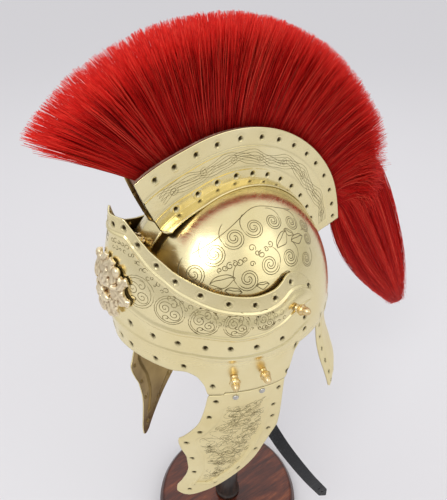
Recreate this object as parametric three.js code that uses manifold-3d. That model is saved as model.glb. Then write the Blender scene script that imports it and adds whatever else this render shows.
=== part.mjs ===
// A Roman legionary's brass helmet with a red horsehair plume, on a turned wooden stand.
// Millimetres, +Z up. The face looks along -Y and the wearer's left is +X.
// The origin is the middle of the stand's underside. Most pieces are worked out in the helmet's
// own frame, whose zero height is the rim line of the skull bowl.

import * as THREE from 'three';
import { mergeVertices } from 'three/addons/utils/BufferGeometryUtils.js';
import Module from 'manifold-3d';

const wasm = await Module();
wasm.setup();

// Sheet metal and fits. flatRoom is left between two round walls whose flats don't line up.
const sheet = 1.4;
const fit = 0.3;
const flatRoom = 0.85;

// Skull bowl
const domeWidth = 200;
const domeLength = 220;
const domeHeight = 127;
const domeSetBack = 3.5;
const domeSkirt = 2;

// Brow band and cheek plates
const browTop = 126;
const browBorder = 15;
const browCornerAngle = 15.5;
const reliefDepth = 2.2;
const jointDrop = 35.5;
const jointGap = 1.5;
const jointStep = 2.5;
const jointStepAngle = 58;
const stepBlendAngle = 0.4;
const tabFrontAngle = 51.5;
const hugStartAngle = 84;
const hugEndAngle = 100;

// Cheek guards and their hinges
const guardLength = 195;
const guardTopFrontAngle = 51.7;
const guardTopRearAngle = 89.4;
const hingeInset = 4.5;
const boreRoom = 0.35;
const pinWidth = 2.2;
const knuckleWidth = 4.4;
const leafSheet = 1.2;
const leafRoom = 0.6;
const leafUp = 25;
const leafDown = 9;
const leafFrontAngle = 59;
const leafRearAngle = 79;
const rivetWidth = 6;
const rivetHeight = 1.6;

// Neck guard
const neckDrop = 105;
const neckOverlap = 5;
const neckEdgeAngle = 116;
const neckFlare = 0.21;
const neckEdgeSlantAngle = 5;
const neckCornerAngle = 7;
const neckCornerShare = 0.86;

// Crest box, its block and the plume
const crestHeight = 48;
const crestFrontRise = 6;
const crestRearFall = 4;
const crestWidth = 20.6;
const flangeWidth = 11;
const crestFootAngle = -39.5;
const crestBrowAngle = -33.5;
const crestRearAngle = 75;
const crestLift = 5;
const crestLiftAngle = 22;
const crestRiseAngle = -14;
const crestFallAngle = 52;
const crestBlendAngle = 24;
const tongueAngle = -49.5;
const tongueOverlapAngle = 3;
const tongueFinialAngle = -47;
const tongueWidth = 24;
const blockBelowWall = 1;
const hairLength = 85;
const hairSpread = 22;
const tailReach = 190;
const tailDrop = 226;
const tailStart = 2;
const lockWidth = 9.4;

// Cast pieces
const maskWidth = 70;
const maskHeight = 70;
const maskDepth = 7;
const maskBow = 12;
const maskLevel = 63;
const finialWidth = 9.5;
const finialLength = 15;

// Chin strap
const strapWidth = 14;
const strapThickness = 2;
const strapPointLength = 14;

// Stand
const rimHeight = 420;
const standSetBack = 8;
const baseTopWidth = 194;
const baseRim = 7;
const baseThickness = 25;
const postWidth = 30;
const collarWidth = 36;
const collarHeight = 8;
const headWidth = 96;
const headRound = 60;
const headThickness = 34;

const halfWidth = domeWidth / 2;
const halfLength = domeLength / 2;
const rad = Math.PI / 180;
const fullTurn = 360;

const brass = { color: 0xd9cc94, metalness: 1, roughness: 0.28 };
const castBrass = { color: 0xc9a878, metalness: 1, roughness: 0.35 };
const copperBrass = { color: 0xc89040, metalness: 1, roughness: 0.3 };
const steel = { color: 0x9a9a94, metalness: 1, roughness: 0.35 };
const redHair = { color: 0xb01010, metalness: 0, roughness: 0.6 };
const blackLeather = { color: 0x17171a, metalness: 0, roughness: 0.5 };
const mahogany = { color: 0x5a1c0e, metalness: 0, roughness: 0.3 };
const blackWood = { color: 0x120c0a, metalness: 0, roughness: 0.4 };
const brownWood = { color: 0x6a4026, metalness: 0, roughness: 0.7 };

// Table reading

// Value of a column at a place between the rows, with a smooth curve through the rows.
function smoothAt(rows, key, column, at) {
  const last = rows.length - 1;
  if (at <= rows[0][key]) return rows[0][column];
  if (at >= rows[last][key]) return rows[last][column];
  const i = rows.findIndex((row, k) => k < last && at <= rows[k + 1][key]);
  const slope = (k) => {
    const a = rows[Math.max(k - 1, 0)];
    const b = rows[Math.min(k + 1, last)];
    return (b[column] - a[column]) / (b[key] - a[key]);
  };
  const span = rows[i + 1][key] - rows[i][key];
  const u = (at - rows[i][key]) / span;
  const h1 = (1 + 2 * u) * (1 - u) * (1 - u);
  const h2 = u * (1 - u) * (1 - u);
  const h3 = u * u * (3 - 2 * u);
  const h4 = u * u * (u - 1);
  return h1 * rows[i][column] + h2 * span * slope(i) + h3 * rows[i + 1][column]
    + h4 * span * slope(i + 1);
}

// The same with straight stretches between the rows.
function straightAt(rows, key, column, at) {
  const last = rows.length - 1;
  if (at <= rows[0][key]) return rows[0][column];
  if (at >= rows[last][key]) return rows[last][column];
  const i = rows.findIndex((row, k) => k < last && at <= rows[k + 1][key]);
  const u = (at - rows[i][key]) / (rows[i + 1][key] - rows[i][key]);
  return rows[i][column] * (1 - u) + rows[i + 1][column] * u;
}

const lerp = (a, b, u) => a + (b - a) * u;
const ease = (u) => THREE.MathUtils.smoothstep(u, 0, 1);
const steps = (from, to, count) => Array.from(
  { length: count + 1 }, (_, i) => lerp(from, to, i / count));

// Plan angles right round, without the one that closes the circle.
const roundAngles = (sides) => steps(0, fullTurn, sides).slice(0, -1);

// Closed meshes

// One closed geometry from points and triangles, with its faces turned outward.
function closedGeometry(points, faces) {
  let volume = 0;
  for (const [a, b, c] of faces) {
    volume += points[a].dot(new THREE.Vector3().crossVectors(points[b], points[c]));
  }
  const turned = volume < 0 ? faces.map(([a, b, c]) => [a, c, b]) : faces;
  const geometry = new THREE.BufferGeometry();
  geometry.setAttribute('position', new THREE.Float32BufferAttribute(
    points.flatMap((p) => [p.x, p.y, p.z]), 3));
  geometry.setIndex(turned.flat());
  return geometry;
}

// A wall between two grids of points of the same size, closed along its four edges.
function wallBetween(outer, inner) {
  const rows = outer.length;
  const columns = outer[0].length;
  const points = [...outer.flat(), ...inner.flat()];
  const at = (side, r, c) => side * rows * columns + r * columns + c;
  const faces = [];
  const quad = (a, b, c, d) => faces.push([a, b, c], [a, c, d]);
  for (let r = 0; r + 1 < rows; r++) {
    for (let c = 0; c + 1 < columns; c++) {
      quad(at(0, r, c), at(0, r, c + 1), at(0, r + 1, c + 1), at(0, r + 1, c));
      quad(at(1, r, c), at(1, r + 1, c), at(1, r + 1, c + 1), at(1, r, c + 1));
    }
  }
  const lastRow = rows - 1;
  for (let c = 0; c + 1 < columns; c++) {
    quad(at(0, 0, c + 1), at(0, 0, c), at(1, 0, c), at(1, 0, c + 1));
    quad(at(0, lastRow, c), at(0, lastRow, c + 1), at(1, lastRow, c + 1), at(1, lastRow, c));
  }
  const end = columns - 1;
  for (let r = 0; r + 1 < rows; r++) {
    quad(at(0, r, 0), at(0, r + 1, 0), at(1, r + 1, 0), at(1, r, 0));
    quad(at(0, r + 1, end), at(0, r, end), at(1, r, end), at(1, r + 1, end));
  }
  return closedGeometry(points, faces);
}

// A solid through rings of points, closed by a flat fan at each end.
function loft(rings) {
  const size = rings[0].length;
  const points = rings.flat();
  const faces = [];
  for (let r = 0; r + 1 < rings.length; r++) {
    for (let i = 0; i < size; i++) {
      const a = r * size + i;
      const b = r * size + (i + 1) % size;
      faces.push([a, b, b + size], [a, b + size, a + size]);
    }
  }
  const outline = THREE.ShapeUtils.triangulateShape(flatOutline(rings[0]), []);
  const end = (rings.length - 1) * size;
  for (const [a, b, c] of outline) {
    faces.push([c, b, a], [end + a, end + b, end + c]);
  }
  return closedGeometry(points, faces);
}

// A ring of points laid flat, for filling it with triangles.
function flatOutline(ring) {
  const middle = ring.reduce((sum, p) => sum.add(p), new THREE.Vector3()).divideScalar(ring.length);
  const normal = new THREE.Vector3();
  ring.forEach((p, i) => {
    const q = ring[(i + 1) % ring.length];
    normal.add(new THREE.Vector3().crossVectors(p.clone().sub(middle), q.clone().sub(middle)));
  });
  normal.normalize();
  const across = ring[0].clone().sub(middle).normalize();
  const along = new THREE.Vector3().crossVectors(normal, across);
  return ring.map((p) => {
    const d = p.clone().sub(middle);
    return new THREE.Vector2(d.dot(across), d.dot(along));
  });
}

// A turned solid about Z from pairs of radius and height that start and end on the axis.
function turned(pairs, sides) {
  const geometry = new THREE.LatheGeometry(pairs.map(([r, z]) => new THREE.Vector2(r, z)), sides);
  return geometry.rotateX(Math.PI / 2);
}

function toSolid(geometry) {
  const bare = geometry.clone();
  bare.deleteAttribute('normal');
  bare.deleteAttribute('uv');
  const merged = mergeVertices(bare, 1e-4);
  return new wasm.Manifold(new wasm.Mesh({
    numProp: 3,
    vertProperties: new Float32Array(merged.attributes.position.array),
    triVerts: new Uint32Array(merged.index.array),
  }));
}

function fromSolid(solid) {
  const mesh = solid.getMesh();
  const geometry = new THREE.BufferGeometry();
  geometry.setAttribute('position', new THREE.Float32BufferAttribute(mesh.vertProperties, 3));
  geometry.setIndex(new THREE.Uint32BufferAttribute(mesh.triVerts, 1));
  return geometry;
}

const fused = (geometries) => fromSolid(
  geometries.map(toSolid).reduce((whole, piece) => whole.add(piece)));

const mirrored = (geometry) => {
  const copy = geometry.clone().scale(-1, 1, 1);
  const index = copy.index.array;
  for (let i = 0; i < index.length; i += 3) {
    [index[i], index[i + 1]] = [index[i + 1], index[i]];
  }
  return copy;
};

// The surfaces that the sheet pieces follow

// The wrap is the upright surface of the brow band and cheek guards: at each level its reach to
// the side and to the front, as shares of half the bowl's width and length, and how pointed its
// front is. A point of 1 is a plain ellipse.
const wrapRows = [
  { level: -jointDrop - 1.0 * guardLength, side: 0.85, front: 1.045, point: 1.13 },
  { level: -jointDrop - 0.65 * guardLength, side: 0.88, front: 1.09, point: 1.13 },
  { level: -jointDrop - 0.4 * guardLength, side: 0.93, front: 1.135, point: 1.13 },
  { level: -jointDrop - 0.2 * guardLength, side: 0.99, front: 1.105, point: 1.13 },
  { level: -jointDrop, side: 1.025, front: 1.055, point: 1.13 },
  { level: 0, side: 1.035, front: 1.055, point: 1.13 },
  { level: 0.3 * browTop, side: 0.99, front: 1.065, point: 1.13 },
  { level: 0.6 * browTop, side: 0.88, front: 1.025, point: 1.14 },
  { level: 0.86 * browTop, side: 0.75, front: 0.985, point: 1.18 },
  { level: 1.1 * browTop, side: 0.63, front: 0.965, point: 1.3 },
];

// Half the bowl's width and length at a height above the rim line.
function domeSection(height) {
  const share = Math.sqrt(Math.max(1 - (Math.max(height, 0) / domeHeight) ** 2, 0));
  return { side: halfWidth * share, front: halfLength * share };
}

// A point of the bowl's outside at a plan angle from the front, moved outward.
function onDome(angle, height, out) {
  const { side, front } = domeSection(height);
  const s = Math.sin(angle * rad);
  const c = Math.cos(angle * rad);
  return new THREE.Vector3((side + out) * s, domeSetBack - (front + out) * c, height);
}

function plainWrap(angle, height) {
  const side = halfWidth * smoothAt(wrapRows, 'level', 'side', height);
  const front = halfLength * smoothAt(wrapRows, 'level', 'front', height);
  const point = smoothAt(wrapRows, 'level', 'point', height);
  const bend = (v) => Math.sign(v) * Math.abs(v) ** point;
  const x = side * bend(Math.sin(angle * rad));
  return new THREE.Vector3(x, -front * bend(Math.cos(angle * rad)), height);
}

// A point of the wrap, moved outward along its plan normal. Past the ears it hugs the bowl.
function onWrap(angle, height, out) {
  const hug = ease((Math.abs(angle) - hugStartAngle) / (hugEndAngle - hugStartAngle));
  const beside = 0.5;
  const before = plainWrap(angle - beside, height);
  const after = plainWrap(angle + beside, height);
  const normal = new THREE.Vector3(before.y - after.y, after.x - before.x, 0).normalize();
  const look = new THREE.Vector3(Math.sin(angle * rad), -Math.cos(angle * rad), 0);
  if (normal.dot(look) < 0) normal.negate();
  const free = plainWrap(angle, height).addScaledVector(normal, out);
  return free.lerp(onDome(angle, height, fit + sheet + out), hug);
}

// Skull bowl

function domeShell() {
  const sides = 32;
  const bands = 8;
  const quarter = fullTurn / 4;
  const rising = steps(0, quarter, bands).slice(0, -1).map((a) => domeHeight * Math.sin(a * rad));
  const levels = [-domeSkirt, ...rising];
  const outer = levels.map((level) => roundAngles(sides).map((a) => onDome(a, level, 0)));
  const insideTop = domeHeight - sheet;
  const inner = levels.map((level) => {
    const share = Math.sqrt(1 - (Math.max(level, 0) / domeHeight) ** 2);
    const height = level > 0 ? level / domeHeight * insideTop : level;
    const side = (halfWidth - sheet) * share;
    const front = (halfLength - sheet) * share;
    return roundAngles(sides).map((a) => new THREE.Vector3(
      side * Math.sin(a * rad), domeSetBack - front * Math.cos(a * rad), height));
  });
  const crowns = [domeHeight, insideTop].map((z) => new THREE.Vector3(0, domeSetBack, z));
  const points = [...outer.flat(), ...inner.flat(), ...crowns];
  const faces = [];
  const rows = levels.length;
  const at = (side, r, i) => (side * rows + r) * sides + (i % sides);
  const quad = (a, b, c, d) => faces.push([a, b, c], [a, c, d]);
  const top = 2 * rows * sides;
  for (let i = 0; i < sides; i++) {
    for (let r = 0; r + 1 < rows; r++) {
      quad(at(0, r, i), at(0, r, i + 1), at(0, r + 1, i + 1), at(0, r + 1, i));
      quad(at(1, r, i), at(1, r + 1, i), at(1, r + 1, i + 1), at(1, r, i + 1));
    }
    quad(at(0, 0, i + 1), at(0, 0, i), at(1, 0, i), at(1, 0, i + 1));
    faces.push([at(0, rows - 1, i), at(0, rows - 1, i + 1), top]);
    faces.push([at(1, rows - 1, i + 1), at(1, rows - 1, i), top + 1]);
  }
  return closedGeometry(points, faces);
}

// Brow band with its cheek plates and side lobes

// Heights over half the band, by plan angle from the front. The top edge and the two raised
// ridges are shares of the band's height above the rim line, the foot shares of the joint's drop.
const browRows = [
  { angle: 0, top: 1.0, upper: 0.45, lower: 0.22, foot: 0.09 },
  { angle: browCornerAngle, top: 1.0, upper: 0.4, lower: 0.17, foot: 0.13 },
  { angle: 21, top: 0.945, upper: 0.37, lower: 0.15, foot: 0.17 },
  { angle: 30, top: 0.825, upper: 0.32, lower: 0.125, foot: 0.24 },
  { angle: 35.5, top: 0.765, upper: 0.3, lower: 0.115, foot: 0.28 },
  { angle: 41, top: 0.7, upper: 0.285, lower: 0.105, foot: 0.25 },
  { angle: 46, top: 0.655, upper: 0.28, lower: 0.1, foot: 0.38 },
  { angle: 49, top: 0.63, upper: 0.275, lower: 0.09, foot: 0.66 },
  { angle: tabFrontAngle, top: 0.61, upper: 0.27, lower: 0.085, foot: 1.0 },
  { angle: jointStepAngle, top: 0.565, upper: 0.25, lower: 0.07, foot: 1.0 },
  { angle: 66, top: 0.53, upper: 0.23, lower: 0.065, foot: 1.0 },
  { angle: 75, top: 0.51, upper: 0.235, lower: 0.07, foot: 1.0 },
  { angle: 82, top: 0.52, upper: 0.26, lower: 0.08, foot: 1.0 },
  { angle: 89.5, top: 0.555, upper: 0.295, lower: 0.1, foot: 1.0 },
  { angle: 91.5, top: 0.565, upper: 0.305, lower: 0.11, foot: 0.72 },
  { angle: 94, top: 0.57, upper: 0.315, lower: 0.125, foot: 0.12 },
  { angle: 99, top: 0.545, upper: 0.32, lower: 0.15, foot: -0.17 },
  { angle: 104, top: 0.49, upper: 0.31, lower: 0.16, foot: -0.22 },
  { angle: 109, top: 0.35, upper: 0.24, lower: 0.13, foot: -0.18 },
  { angle: 113, top: 0.08, upper: 0.065, lower: 0.05, foot: -0.06 },
];

// The bead lies no further down than this share of the way to the upper ridge. Over the lobe the
// relief dies out.
const beadShare = 0.45;
const reliefEndAngle = 110;
const reliefBlendAngle = 15;

// Levels of one column of the band from its top edge to its foot, with the relief at each.
function browColumn(angle) {
  const at = Math.abs(angle);
  const value = (column) => straightAt(browRows, 'angle', column, at);
  const top = browTop * value('top');
  const upper = browTop * value('upper');
  const lower = browTop * value('lower');
  const onTab = at < jointStepAngle - stepBlendAngle / 2 && at > tabFrontAngle - stepBlendAngle / 2;
  const foot = -jointDrop * value('foot') - (onTab ? jointStep : 0);
  const bead = top - Math.min(browBorder, (top - upper) * beadShare);
  const flat = ease((reliefEndAngle - at) / reliefBlendAngle);
  return [
    { level: top, out: 0 },
    { level: lerp(top, bead, 0.9), out: 0 },
    { level: bead, out: 0.6 * flat },
    { level: lerp(bead, upper, 0.5), out: flat },
    { level: lerp(bead, upper, 0.92), out: 0.3 * flat },
    { level: upper, out: 0.8 * flat },
    { level: lerp(upper, lower, 0.5), out: 0.2 * flat },
    { level: lower, out: 0.7 * flat },
    { level: lerp(lower, foot, 0.3), out: 0.1 * flat },
    { level: foot, out: 0 },
  ];
}

function browBand() {
  const widest = 7;
  const half = browRows.flatMap((row, i) => {
    const next = browRows[i + 1];
    if (!next || next.angle - row.angle <= widest) return [row.angle];
    return [row.angle, lerp(row.angle, next.angle, 0.5)];
  });
  half.push(jointStepAngle - stepBlendAngle);
  half.sort((a, b) => a - b);
  const angles = [...half.slice(1).reverse().map((a) => -a), ...half];
  const grid = (shift) => angles.map((a) => browColumn(a).map(
    ({ level, out }) => onWrap(a, level, out * reliefDepth + shift)));
  return wallBetween(grid(sheet / 2), grid(-sheet / 2));
}

// Cheek guards

// Outline by share of the guard's length below the joint: plan angles of its front and rear edge.
const guardRows = [
  { share: 0.05, front: 51, rear: 89.5 },
  { share: 0.11, front: 50.6, rear: 89.8 },
  { share: 0.17, front: 50, rear: 90.2 },
  { share: 0.24, front: 48.8, rear: 90.6 },
  { share: 0.305, front: 46, rear: 91 },
  { share: 0.355, front: 42.8, rear: 91 },
  { share: 0.39, front: 40, rear: 91 },
  { share: 0.41, front: 40, rear: 90.7 },
  { share: 0.49, front: 41.3, rear: 88.5 },
  { share: 0.575, front: 43, rear: 86 },
  { share: 0.67, front: 43, rear: 81.5 },
  { share: 0.745, front: 41.8, rear: 75.5 },
  { share: 0.84, front: 38, rear: 65 },
  { share: 0.92, front: 34.2, rear: 55 },
  { share: 0.965, front: 33.8, rear: 48 },
  { share: 0.99, front: 36, rear: 43.5 },
  { share: 1, front: 38.3, rear: 41 },
];

function cheekGuard() {
  const columns = 6;
  const top = -jointDrop - jointGap;
  const across = (front, rear) => steps(0, 1, columns).map((u) => lerp(front, rear, u));
  const rows = guardRows.map(({ share, front, rear }) => across(front, rear).map(
    (angle) => ({ angle, level: -jointDrop - share * guardLength })));
  const stepFront = jointStepAngle - stepBlendAngle;
  const stepRear = jointStepAngle + stepBlendAngle;
  const rest = steps(stepRear, guardTopRearAngle, columns - 2).slice(1);
  rows.unshift([guardTopFrontAngle, stepFront, stepRear, ...rest].map((angle) => ({
    angle,
    level: top - (angle < jointStepAngle ? jointStep : 0),
  })));
  const grid = (shift) => rows.map((row) => row.map(({ angle, level }) => onWrap(angle, level, shift)));
  return wallBetween(grid(sheet / 2), grid(-sheet / 2));
}

// Hinges behind the joint

const leafMiddle = (leafFrontAngle + leafRearAngle) / 2;
const axisLevel = -jointDrop - jointGap / 2;

// The hinge's straight axis: along the leaf's chord, a little behind the plates.
function hingeAxis() {
  const front = onWrap(leafFrontAngle, axisLevel, 0);
  const rear = onWrap(leafRearAngle, axisLevel, 0);
  const along = rear.sub(front).normalize();
  const middle = onWrap(leafMiddle, axisLevel, -sheet / 2 - hingeInset);
  return { middle, along };
}

function alongHinge(radius, from, to, sides) {
  const { middle, along } = hingeAxis();
  const rod = new THREE.CylinderGeometry(radius, radius, to - from, sides);
  rod.translate(0, (from + to) / 2, 0);
  rod.applyQuaternion(new THREE.Quaternion().setFromUnitVectors(new THREE.Vector3(0, 1, 0), along));
  return rod.translate(middle.x, middle.y, middle.z);
}

// A patch of metal behind the plates, between two angles and two levels.
function backPatch(fromAngle, toAngle, fromLevel, toLevel, thickness) {
  const columnAngle = 4;
  const columns = Math.max(1, Math.round((toAngle - fromAngle) / columnAngle));
  const angles = steps(fromAngle, toAngle, columns);
  const grid = (shift) => [fromLevel, toLevel].map((level) => angles.map(
    (angle) => onWrap(angle, level, shift)));
  const face = -sheet / 2 - leafRoom;
  return wallBetween(grid(face), grid(face - thickness));
}

function leafSpan() {
  const front = onWrap(leafFrontAngle, axisLevel, 0);
  return front.distanceTo(onWrap(leafRearAngle, axisLevel, 0));
}

const knuckleRoom = knuckleWidth / 2 + fit;
const knuckleSides = 10;
const webRoomAngle = 0.7;

// Upper leaf with the middle knuckle, lower leaf with the outer two, bored for the pin.
function hingeLeaf(isUpper) {
  const third = leafSpan() / 3;
  const thirdAngle = (leafRearAngle - leafFrontAngle) / 3;
  const near = isUpper ? axisLevel + knuckleRoom : axisLevel - knuckleRoom;
  const far = isUpper ? axisLevel + leafUp : axisLevel - leafDown;
  const pieces = [backPatch(leafFrontAngle, leafRearAngle, near, far, leafSheet)];
  const spans = isUpper ? [0] : [-1, 1];
  for (const k of spans) {
    const room = third / 2 - fit;
    pieces.push(alongHinge(knuckleWidth / 2, k * third - room, k * third + room, knuckleSides));
    const front = leafMiddle + (k - 0.5) * thirdAngle + webRoomAngle;
    const rear = leafMiddle + (k + 0.5) * thirdAngle - webRoomAngle;
    const webEnd = lerp(axisLevel, near, 0.7);
    const overlap = lerp(near, far, 0.1);
    pieces.push(backPatch(front, rear, axisLevel, near, leafSheet));
    pieces.push(backPatch(front, rear, axisLevel, webEnd, hingeInset - leafRoom));
    pieces.push(backPatch(front, rear, near, overlap, leafSheet));
  }
  const bore = toSolid(alongHinge(pinWidth / 2 + boreRoom, -leafSpan(), leafSpan(), knuckleSides));
  return fromSolid(pieces.map(toSolid).reduce((whole, piece) => whole.add(piece)).subtract(bore));
}

function hingePin() {
  return alongHinge(pinWidth / 2, -leafSpan() / 2, leafSpan() / 2, knuckleSides);
}

// The most that the band's relief stands out within a reach of a level. Below the joint there is none.
function reliefAt(angle, level, reach) {
  const rows = browColumn(angle).reverse();
  if (level < rows[0].level) return 0;
  return reliefDepth * Math.max(...[level - reach, level, level + reach].map(
    (z) => straightAt(rows, 'level', 'out', z)));
}

// A turned stud that stands square on the wrap at an angle and a level, to the left of the middle.
function studOn(profile, sides, angle, level, reach) {
  const seat = onWrap(angle, level, reliefAt(angle, level, reach) + sheet / 2 + fit);
  const across = onWrap(angle + 1, level, 0).sub(onWrap(angle - 1, level, 0));
  const upward = onWrap(angle, level + 2, 0).sub(onWrap(angle, level - 2, 0));
  const outward = across.cross(upward).normalize();
  const turn = new THREE.Quaternion().setFromUnitVectors(new THREE.Vector3(0, 0, 1), outward);
  return turned(profile, sides).applyQuaternion(turn).translate(seat.x, seat.y, seat.z);
}

// An acorn: washer, cup and pointed nut, from its seat outward.
const acorn = [
  [0, 0], [0.38, 0], [0.38, 0.1], [0.26, 0.16], [0.5, 0.32],
  [0.5, 0.46], [0.4, 0.54], [0.33, 0.8], [0, 1],
].map(([r, z]) => [r * finialWidth, z * finialLength]);

const rivetHead = [
  [0, 0], [0.5 * rivetWidth, 0], [0.42 * rivetWidth, 0.6 * rivetHeight], [0, rivetHeight],
];

// Neck guard

// The neck guard starts inside the bowl's rear rim and flares outward as it drops.
const neckRows = [
  { share: 0, flare: 0 },
  { share: 0.12, flare: 0.04 },
  { share: 0.3, flare: 0.15 },
  { share: 0.5, flare: 0.38 },
  { share: 0.7, flare: 0.7 },
  { share: 0.86, flare: 0.93 },
  { share: 0.95, flare: 0.99 },
  { share: 1, flare: 1 },
];

function neckGuard() {
  const columns = 16;
  const inset = sheet + flatRoom + sheet / 2;
  const rows = [{ level: neckOverlap, flare: 0, trim: 0 }];
  neckRows.forEach(({ share, flare }) => {
    const round = Math.max(share - neckCornerShare, 0) / (1 - neckCornerShare);
    rows.push({
      level: -domeSkirt - share * (neckDrop - domeSkirt),
      flare: flare * neckFlare,
      trim: neckEdgeSlantAngle * share + neckCornerAngle * round * round,
    });
  });
  const grid = (shift) => rows.map(({ level, flare, trim }) => {
    const start = neckEdgeAngle + trim;
    const bowl = domeSection(level);
    const side = bowl.side * (1 + flare) - inset + shift;
    const rear = bowl.front * (1 + flare) - inset + shift;
    return steps(start, fullTurn - start, columns).map((angle) => new THREE.Vector3(
      side * Math.sin(angle * rad), domeSetBack - rear * Math.cos(angle * rad), level));
  });
  return wallBetween(grid(sheet / 2), grid(-sheet / 2));
}

// Crest box

// A point over the bowl's middle line: angle from the crown, distance to the side and height.
function overDome(angle, across, height) {
  const share = Math.sqrt(1 - (across / halfWidth) ** 2);
  const y = domeSetBack + (halfLength * share + height) * Math.sin(angle * rad);
  return new THREE.Vector3(across, y, (domeHeight * share + height) * Math.cos(angle * rad));
}

// The foot of the crest lifts off the bowl towards its front end.
const liftAt = (angle) => fit
  + crestLift * ease((crestFootAngle + crestLiftAngle - angle) / crestLiftAngle);

function wallTopAt(angle) {
  const front = ease((crestRiseAngle - angle) / crestBlendAngle);
  const rear = ease((angle - crestFallAngle) / crestBlendAngle);
  return crestHeight + crestFrontRise * front - crestRearFall * rear;
}

// The front end leans: the angle where the crest starts grows with the height.
function crestAngle(u, height) {
  const share = Math.max(height, 0) / (crestHeight + crestFrontRise);
  const start = lerp(crestFootAngle, crestBrowAngle, share);
  return lerp(start, crestRearAngle, u);
}

function crestSection(u) {
  const wall = crestWidth / 2;
  const foot = liftAt(crestAngle(u, 0));
  const top = wallTopAt(crestAngle(u, crestHeight));
  const flange = wall + flangeWidth;
  const half = [
    [flange, foot], [flange, foot + sheet], [wall, foot + sheet], [wall, top],
    [wall - sheet, top], [wall - sheet, foot + sheet],
  ];
  const mirror = [...half].reverse().map(([x, h]) => [-x, h]);
  const sole = [[-wall, foot], [0, foot], [wall, foot]];
  return [...half, ...mirror, ...sole].map(([x, h]) => overDome(crestAngle(u, h), x, h));
}

function crestBox() {
  const sections = 24;
  const channel = loft(steps(0, 1, sections).map(crestSection));
  const tongueAngles = steps(crestFootAngle + tongueOverlapAngle, tongueAngle, 4);
  const tongueSides = steps(-tongueWidth / 2, tongueWidth / 2, 4);
  const strip = (shift) => tongueAngles.map((a) => tongueSides.map(
    (side) => overDome(a, side, liftAt(a) + shift)));
  return fused([channel, wallBetween(strip(sheet), strip(0))]);
}

function crestBlock() {
  const half = crestWidth / 2 - sheet - fit;
  const endRoom = 0.01;
  return loft(steps(endRoom, 1 - endRoom, 20).map((u) => {
    const top = wallTopAt(crestAngle(u, crestHeight)) - blockBelowWall;
    const bottom = liftAt(crestAngle(u, 0)) + sheet + 2 * fit;
    return [[half, bottom], [half, top], [-half, top], [-half, bottom]].map(
      ([x, h]) => overDome(crestAngle(u, h), x, h));
  }));
}

// Plume

// The fan by root angle: lean of the hair from upright and its length as a share.
const fanRows = [
  { root: -33, lean: -56, length: 0.97 },
  { root: -20, lean: -29, length: 1.0 },
  { root: 0, lean: -2, length: 1.0 },
  { root: 20, lean: 22, length: 0.94 },
  { root: 40, lean: 44, length: 0.88 },
  { root: 58, lean: 56, length: 0.93 },
  { root: 71, lean: 69, length: 0.95 },
];

// The tail across its width: inner and outer edge as shares of its reach behind the crest's end
// and of its drop below it, with the half thickness as a share of the hair's spread.
const tailRows = [
  { innerBack: 0.005, innerDrop: 0.04, outerBack: 0.16, outerDrop: -0.34, thick: 0.42 },
  { innerBack: 0.04, innerDrop: 0.16, outerBack: 0.34, outerDrop: -0.22, thick: 0.62 },
  { innerBack: 0.16, innerDrop: 0.32, outerBack: 0.48, outerDrop: -0.02, thick: 0.75 },
  { innerBack: 0.36, innerDrop: 0.54, outerBack: 0.68, outerDrop: 0.26, thick: 0.75 },
  { innerBack: 0.62, innerDrop: 0.76, outerBack: 0.86, outerDrop: 0.56, thick: 0.62 },
  { innerBack: 0.84, innerDrop: 0.93, outerBack: 0.97, outerDrop: 0.82, thick: 0.42 },
  { innerBack: 0.96, innerDrop: 1.0, outerBack: 1.0, outerDrop: 0.99, thick: 0.15 },
];

function hairRoot(root) {
  return overDome(root, 0, wallTopAt(root) - blockBelowWall + fit);
}

function hairTip(root, share) {
  const lean = smoothAt(fanRows, 'root', 'lean', root) * rad;
  const length = smoothAt(fanRows, 'root', 'length', root) * hairLength * share;
  return hairRoot(root).add(new THREE.Vector3(0, Math.sin(lean) * length, Math.cos(lean) * length));
}

const firstRoot = fanRows[0].root;
const lastRoot = fanRows[fanRows.length - 1].root;
const aside = (p, x) => new THREE.Vector3(x, p.y, p.z);

// The fan's backing across its thickness, from root to tip: how far along the hair each corner
// lies and its half width, as shares of the hair's length and spread.
const backingRows = [
  { along: 0.5, half: 0.72 },
  { along: 0.92, half: 0.85 },
];

// The solid backing of the fan: narrow between the walls and wider towards the tips.
function fanBacking() {
  const rootHalf = crestWidth / 2 - sheet - fit;
  const rimShare = (blockBelowWall + 3 * fit) / hairLength;
  return loft(steps(firstRoot, lastRoot, 20).map((root) => {
    const side = [aside(hairRoot(root), rootHalf), aside(hairTip(root, rimShare), rootHalf)];
    backingRows.forEach(({ along, half }) => side.push(aside(hairTip(root, along), half * hairSpread)));
    return [...side, ...side.map((p) => aside(p, -p.x)).reverse()];
  }));
}

function tailBacking() {
  const end = hairRoot(crestRearAngle - 2);
  const edgeShare = 0.4;
  return loft(tailRows.map(({ innerBack, innerDrop, outerBack, outerDrop, thick }) => {
    const half = thick * hairSpread;
    const side = [
      { back: innerBack, drop: innerDrop, x: edgeShare * half },
      { back: (innerBack + outerBack) / 2, drop: (innerDrop + outerDrop) / 2, x: half },
      { back: outerBack, drop: outerDrop, x: edgeShare * half },
    ].map(({ back, drop, x }) => new THREE.Vector3(
      x, end.y + tailStart + back * tailReach, end.z - drop * tailDrop));
    return [...side, ...side.map((p) => aside(p, -p.x)).reverse()];
  }));
}

// The shape of a lock of hair: half its width and half its thickness at places along it, as
// shares of its width at the foot.
const lockRows = [
  { along: 0, half: 0.5, thick: 0.45 },
  { along: 0.6, half: 0.45, thick: 0.4 },
  { along: 1, half: 0.125, thick: 0.1 },
];

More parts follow.
